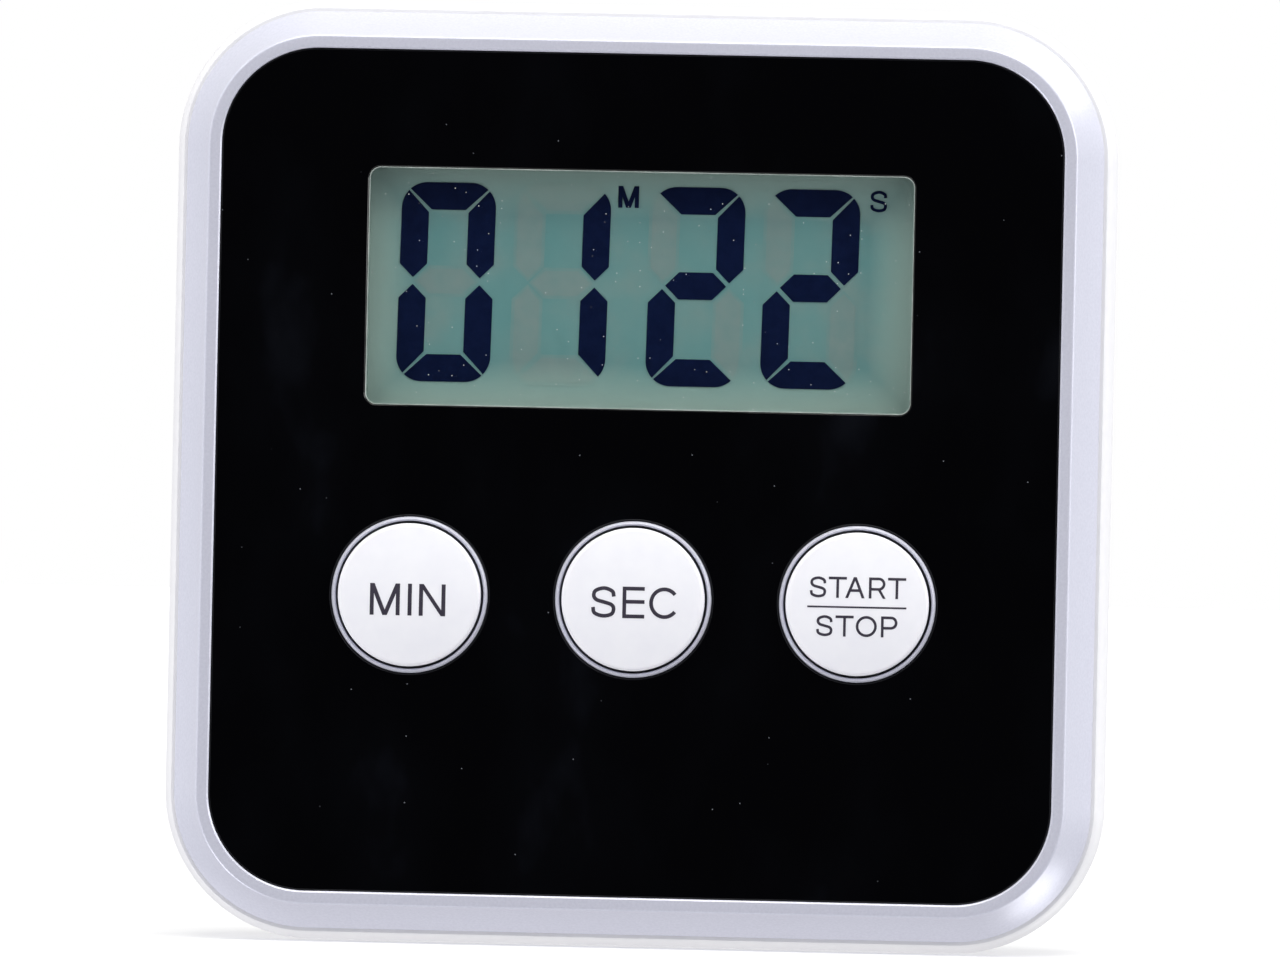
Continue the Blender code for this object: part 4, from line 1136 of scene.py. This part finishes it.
def kickstand():
    """A flap with a hollow face, rounded feet, grip grooves and a heel that stops it open."""
    half = 0.95 * MM
    foot = inside_face("kickstand")[0].z - STAND_AXIS_Z
    heel = 1.45 * MM
    side = softened(
        [
            (0.0, foot, 0), (half, foot, 0.3 * MM), (half, 0.2 * MM, 0.1 * MM),
            (0.5 * MM, heel, 0.1 * MM), (0.0, heel, 0),
        ],
        3,
    )
    side += arc((0.0, 0.0), half, 90, 180, 10)
    side += softened([(-half, 0.0, 0), (-half, foot, 0.3 * MM), (0.0, foot, 0)], 3)[1:-1]
    bm = bmesh.new()
    rows = [[bm.verts.new((x, y, z)) for y, z in side] for x in (-STAND_HALF, STAND_HALF)]
    bm.faces.new(rows[0])
    bm.faces.new(rows[1])
    for i in range(len(side)):
        bm.faces.new((rows[0][i - 1], rows[0][i], rows[1][i], rows[1][i - 1]))
    piece = object_from("stand", bm)
    tall, trim = mm(20, 0.001)
    around = rounded_rectangle(STAND_HALF - trim, tall, 1.6 * MM, (0, foot + tall + trim))
    combine(piece, [plate("outline", around, mm(-5, 5))], "INTERSECT")
    reach = STAND_HALF + STAND_PIN_REACH
    pins = rod("pins", STAND_PIN, (-reach, reach), steps=24)
    pins.data.transform(Matrix.Rotation(math.pi / 2, 4, "Z"))
    unite(piece, pins)
    edge = 0.12 * MM
    hollow = half - STAND_HOLLOW
    rows = []
    for growth, depth in (
        (-edge, hollow),
        (0.0, hollow + edge),
        (0.0, half - edge),
        (edge + BEYOND, half + BEYOND),
    ):
        size = STAND_HALF - 2.2 * MM + growth, 8.5 * MM + growth, 1.5 * MM + growth
        rows.append((rounded_rectangle(*size, (0, -12.0 * MM)), depth))
    depths = (half - 0.25 * MM, half + BEYOND)
    grips = [
        plate("grip", rounded_rectangle(*mm(6.0, 0.22, 0.2), (0, foot + z * MM)), depths)
        for z in (1.6, 2.6, 3.6)
    ]
    cut(piece, lofted("hollow", rows), *grips)
    piece.data.transform(Matrix.Translation((0, STAND_AXIS_Y, STAND_AXIS_Z)))
    show(piece, "case_white", "stand", ["kickstand"])


def magnets():
    for side, spot in zip(("left", "right"), MAGNET_SPOTS):
        low, high = inside_face(f"magnet_{side}")
        radius = (high.x - low.x) / 2
        front_edge, back_edge = mm(0.1, 0.22)
        corners = [(0.0, low.y, 0), (radius, low.y, front_edge), (radius, high.y, back_edge)]
        profile = softened([*corners, (0.0, high.y, 0)])
        piece = turned(f"disc_magnet_{side}", profile, spot)
        show(piece, "magnet_nickel", "casing", [f"magnet_{side}"])


def case_screws():
    """Cross-head screws at the bottom of their counterbores."""
    for number, spot in enumerate(SCREW_SPOTS, 1):
        low, high = inside_face(f"case_screw_{number}")
        radius = (high.x - low.x) / 2
        seat = COUNTERBORE_FLOOR + GAP
        shank = 0.95 * MM
        profile = softened([
            (0.0, high.y, 0), (radius, high.y, 0.6 * MM), (radius, seat, 0), (shank, seat, 0),
            (shank, low.y + 0.4 * MM, 0), (0.4 * MM, low.y, 0), (0.0, low.y, 0),
        ])
        piece = turned(f"cross_screw_{number}", profile, steps=40)
        arm, slot = radius * 0.68, radius * 0.18
        depths = (seat + 0.4 * MM, high.y + BEYOND)
        cross = block("slot", (-arm, arm), depths, (-slot, slot))
        cut(piece, cross, block("slot", (-slot, slot), depths, (-arm, arm)))
        piece.data.transform(Matrix.Rotation(math.radians(20 + 65 * number), 4, "Y"))
        piece.data.transform(Matrix.Translation((spot[0], 0, spot[1])))
        show(piece, "screw_steel", "casing", [f"case_screw_{number}"])


# ---- studio ----

CAMERA_DISTANCE = 0.85
CAMERA_AZIMUTH = 2.9
CAMERA_ELEVATION = -0.2
CAMERA_ROLL = 1.22
FRAME_WIDTH = 87.9 * MM  # across the picture, at the panel
PANEL_OFF_CENTRE = (-0.295 * MM, 0.288 * MM)  # where the panel's middle sits in the picture


# The floor glows more where the lamps no longer reach it: (near, far) in metres and in strength.
FLOOR_REACH = (0.15, 0.9)
FLOOR_GLOW = (0.26, 0.62)

# The tent's colour by direction is TENT_FRONT by Y, -1 towards the camera, times TENT_HEIGHT by
# Z, 1 overhead. The dark front is what the panel mirrors, and the dip below the horizon too.
TENT_STRENGTH = 2.0
TENT_SEEN = (0.5, 0.5, 0.5, 1.0)  # what the camera itself sees: white at this strength
TENT_FRONT = [
    (-1.0, (0.009, 0.009, 0.014)), (-0.94, (0.015, 0.016, 0.024)), (-0.80, (0.46, 0.46, 0.48)),
    (-0.30, (0.51, 0.51, 0.52)), (0.10, (0.48,) * 3), (0.60, (0.35, 0.35, 0.355)),
    (1.0, (0.28, 0.28, 0.285)),
]
TENT_HEIGHT = [
    (-1.0, (0.98, 0.96, 0.96)), (-0.75, (0.92, 0.91, 0.91)), (-0.45, (0.48, 0.48, 0.49)),
    (-0.2, (0.85, 0.85, 0.86)), (0.0, (0.97,) * 3), (0.6, (1.0, 1.0, 1.0)),
]
WHITE = (1.0, 1.0, 1.0)
WARM = (1.0, 0.98, 0.91)
# Name, place, width and height, power in watts, colour
LAMPS = (
    ("top", (0.05, -0.3, 0.86), (0.8, 0.7), 6.3, WARM),
    ("key", (-0.55, -0.32, 0.55), (0.3, 0.3), 0.5, WHITE),
    ("low", (-0.46, -0.11, -0.38), (0.3, 0.3), 1.4, WHITE),
    ("right", (0.55, -0.14, 0.2), (0.3, 0.3), 1.15, WHITE),
    ("back", (0.5, 0.55, 0.52), (0.34, 0.34), 1.0, WHITE),
    ("back_low", (0.48, 0.56, -0.48), (0.34, 0.34), 1.3, WHITE),
)


def add_camera():
    azimuth, elevation = math.radians(CAMERA_AZIMUTH), math.radians(CAMERA_ELEVATION)
    back = Vector((
        math.sin(azimuth) * math.cos(elevation), -math.cos(azimuth) * math.cos(elevation),
        math.sin(elevation),
    ))
    roll = Matrix.Rotation(math.radians(CAMERA_ROLL), 3, back)
    right = roll @ Vector((0, 0, 1)).cross(back).normalized()
    up = back.cross(right)
    aim = FACE - right * PANEL_OFF_CENTRE[0] - up * PANEL_OFF_CENTRE[1]
    data = bpy.data.cameras.new("camera")
    data.lens = data.sensor_width * CAMERA_DISTANCE / FRAME_WIDTH
    data.clip_start = 0.01
    data.clip_end = 20
    camera = add_object("camera", data)
    turn = Matrix((right, up, back)).transposed().to_4x4()
    camera.matrix_world = Matrix.Translation(aim + back * CAMERA_DISTANCE) @ turn
    bpy.context.scene.camera = camera


def add_floor():
    floor = add_object("floor", bpy.data.meshes.new("floor"))
    bm = bmesh.new()
    bmesh.ops.create_circle(bm, cap_ends=True, radius=4.0, segments=96)
    bm.to_mesh(floor.data)
    bm.free()
    greys = (0.60, 0.60, 0.605), (0.62, 0.62, 0.625)
    white = varied("floor_white", *greys, (0.7, 0.8), 40, 300, Emission_Color=(*WHITE, 1.0))
    away = node(white, "ShaderNodeVectorMath")
    away.operation = "LENGTH"
    link(white, own_place(white), away.inputs[0])
    glow = scaled(white, away.outputs["Value"], FLOOR_REACH, FLOOR_GLOW)
    link(white, glow, surface_input(white, "Emission Strength"))
    floor.data.materials.append(white)
    # Light comes up through it, as on a light table, and the glossy panel doesn't mirror it.
    floor.visible_diffuse = False
    floor.visible_glossy = False
    floor.visible_shadow = False


def tent_ramp(world, value, stops):
    """Colours over a direction's part, by stops of (place from -1 to 1, colour)."""
    stops = [((place + 1) / 2, color) for place, color in stops]
    return ramped(world, scaled(world, value, (-1.0, 1.0)), stops).outputs["Color"]


def add_world():
    """A white tent, darker in front, behind the photographer, and a little below the horizon."""
    world = bpy.data.worlds.new("tent")
    bpy.context.scene.world = world
    world.use_nodes = True
    way = coordinates(world, "Generated")
    front = tent_ramp(world, way["Y"], TENT_FRONT)
    top = tent_ramp(world, way["Z"], TENT_HEIGHT)
    light = blended(world, 1.0, front, top, "MULTIPLY")
    seen = node(world, "ShaderNodeLightPath").outputs["Is Camera Ray"]
    background = world.node_tree.nodes["Background"]
    background.inputs["Strength"].default_value = TENT_STRENGTH
    link(world, blended(world, seen, light, TENT_SEEN), background.inputs["Color"])


def add_softbox(name, place, size, power, color):
    data = bpy.data.lights.new(name, "AREA")
    data.shape = "RECTANGLE"
    data.size, data.size_y = size
    data.energy = power
    data.color = color
    lamp = add_object(name, data)
    lamp.location = place
    lamp.rotation_euler = (Vector(place) - FACE).to_track_quat("Z", "Y").to_euler()
    lamp.visible_camera = False


def studio():
    add_camera()
    add_floor()
    add_world()
    for lamp in LAMPS:
        add_softbox(*lamp)
    bpy.context.scene.view_settings.view_transform = "Standard"


# ---- the timer ----

studio()
FINISHES = make_finishes()
dress_frame()
for build in (
    front_case, face_panel, display_window, window_edge_bead_highlight, display, buttons,
    rear_case, battery_door, kickstand, magnets, case_screws,
):
    build()
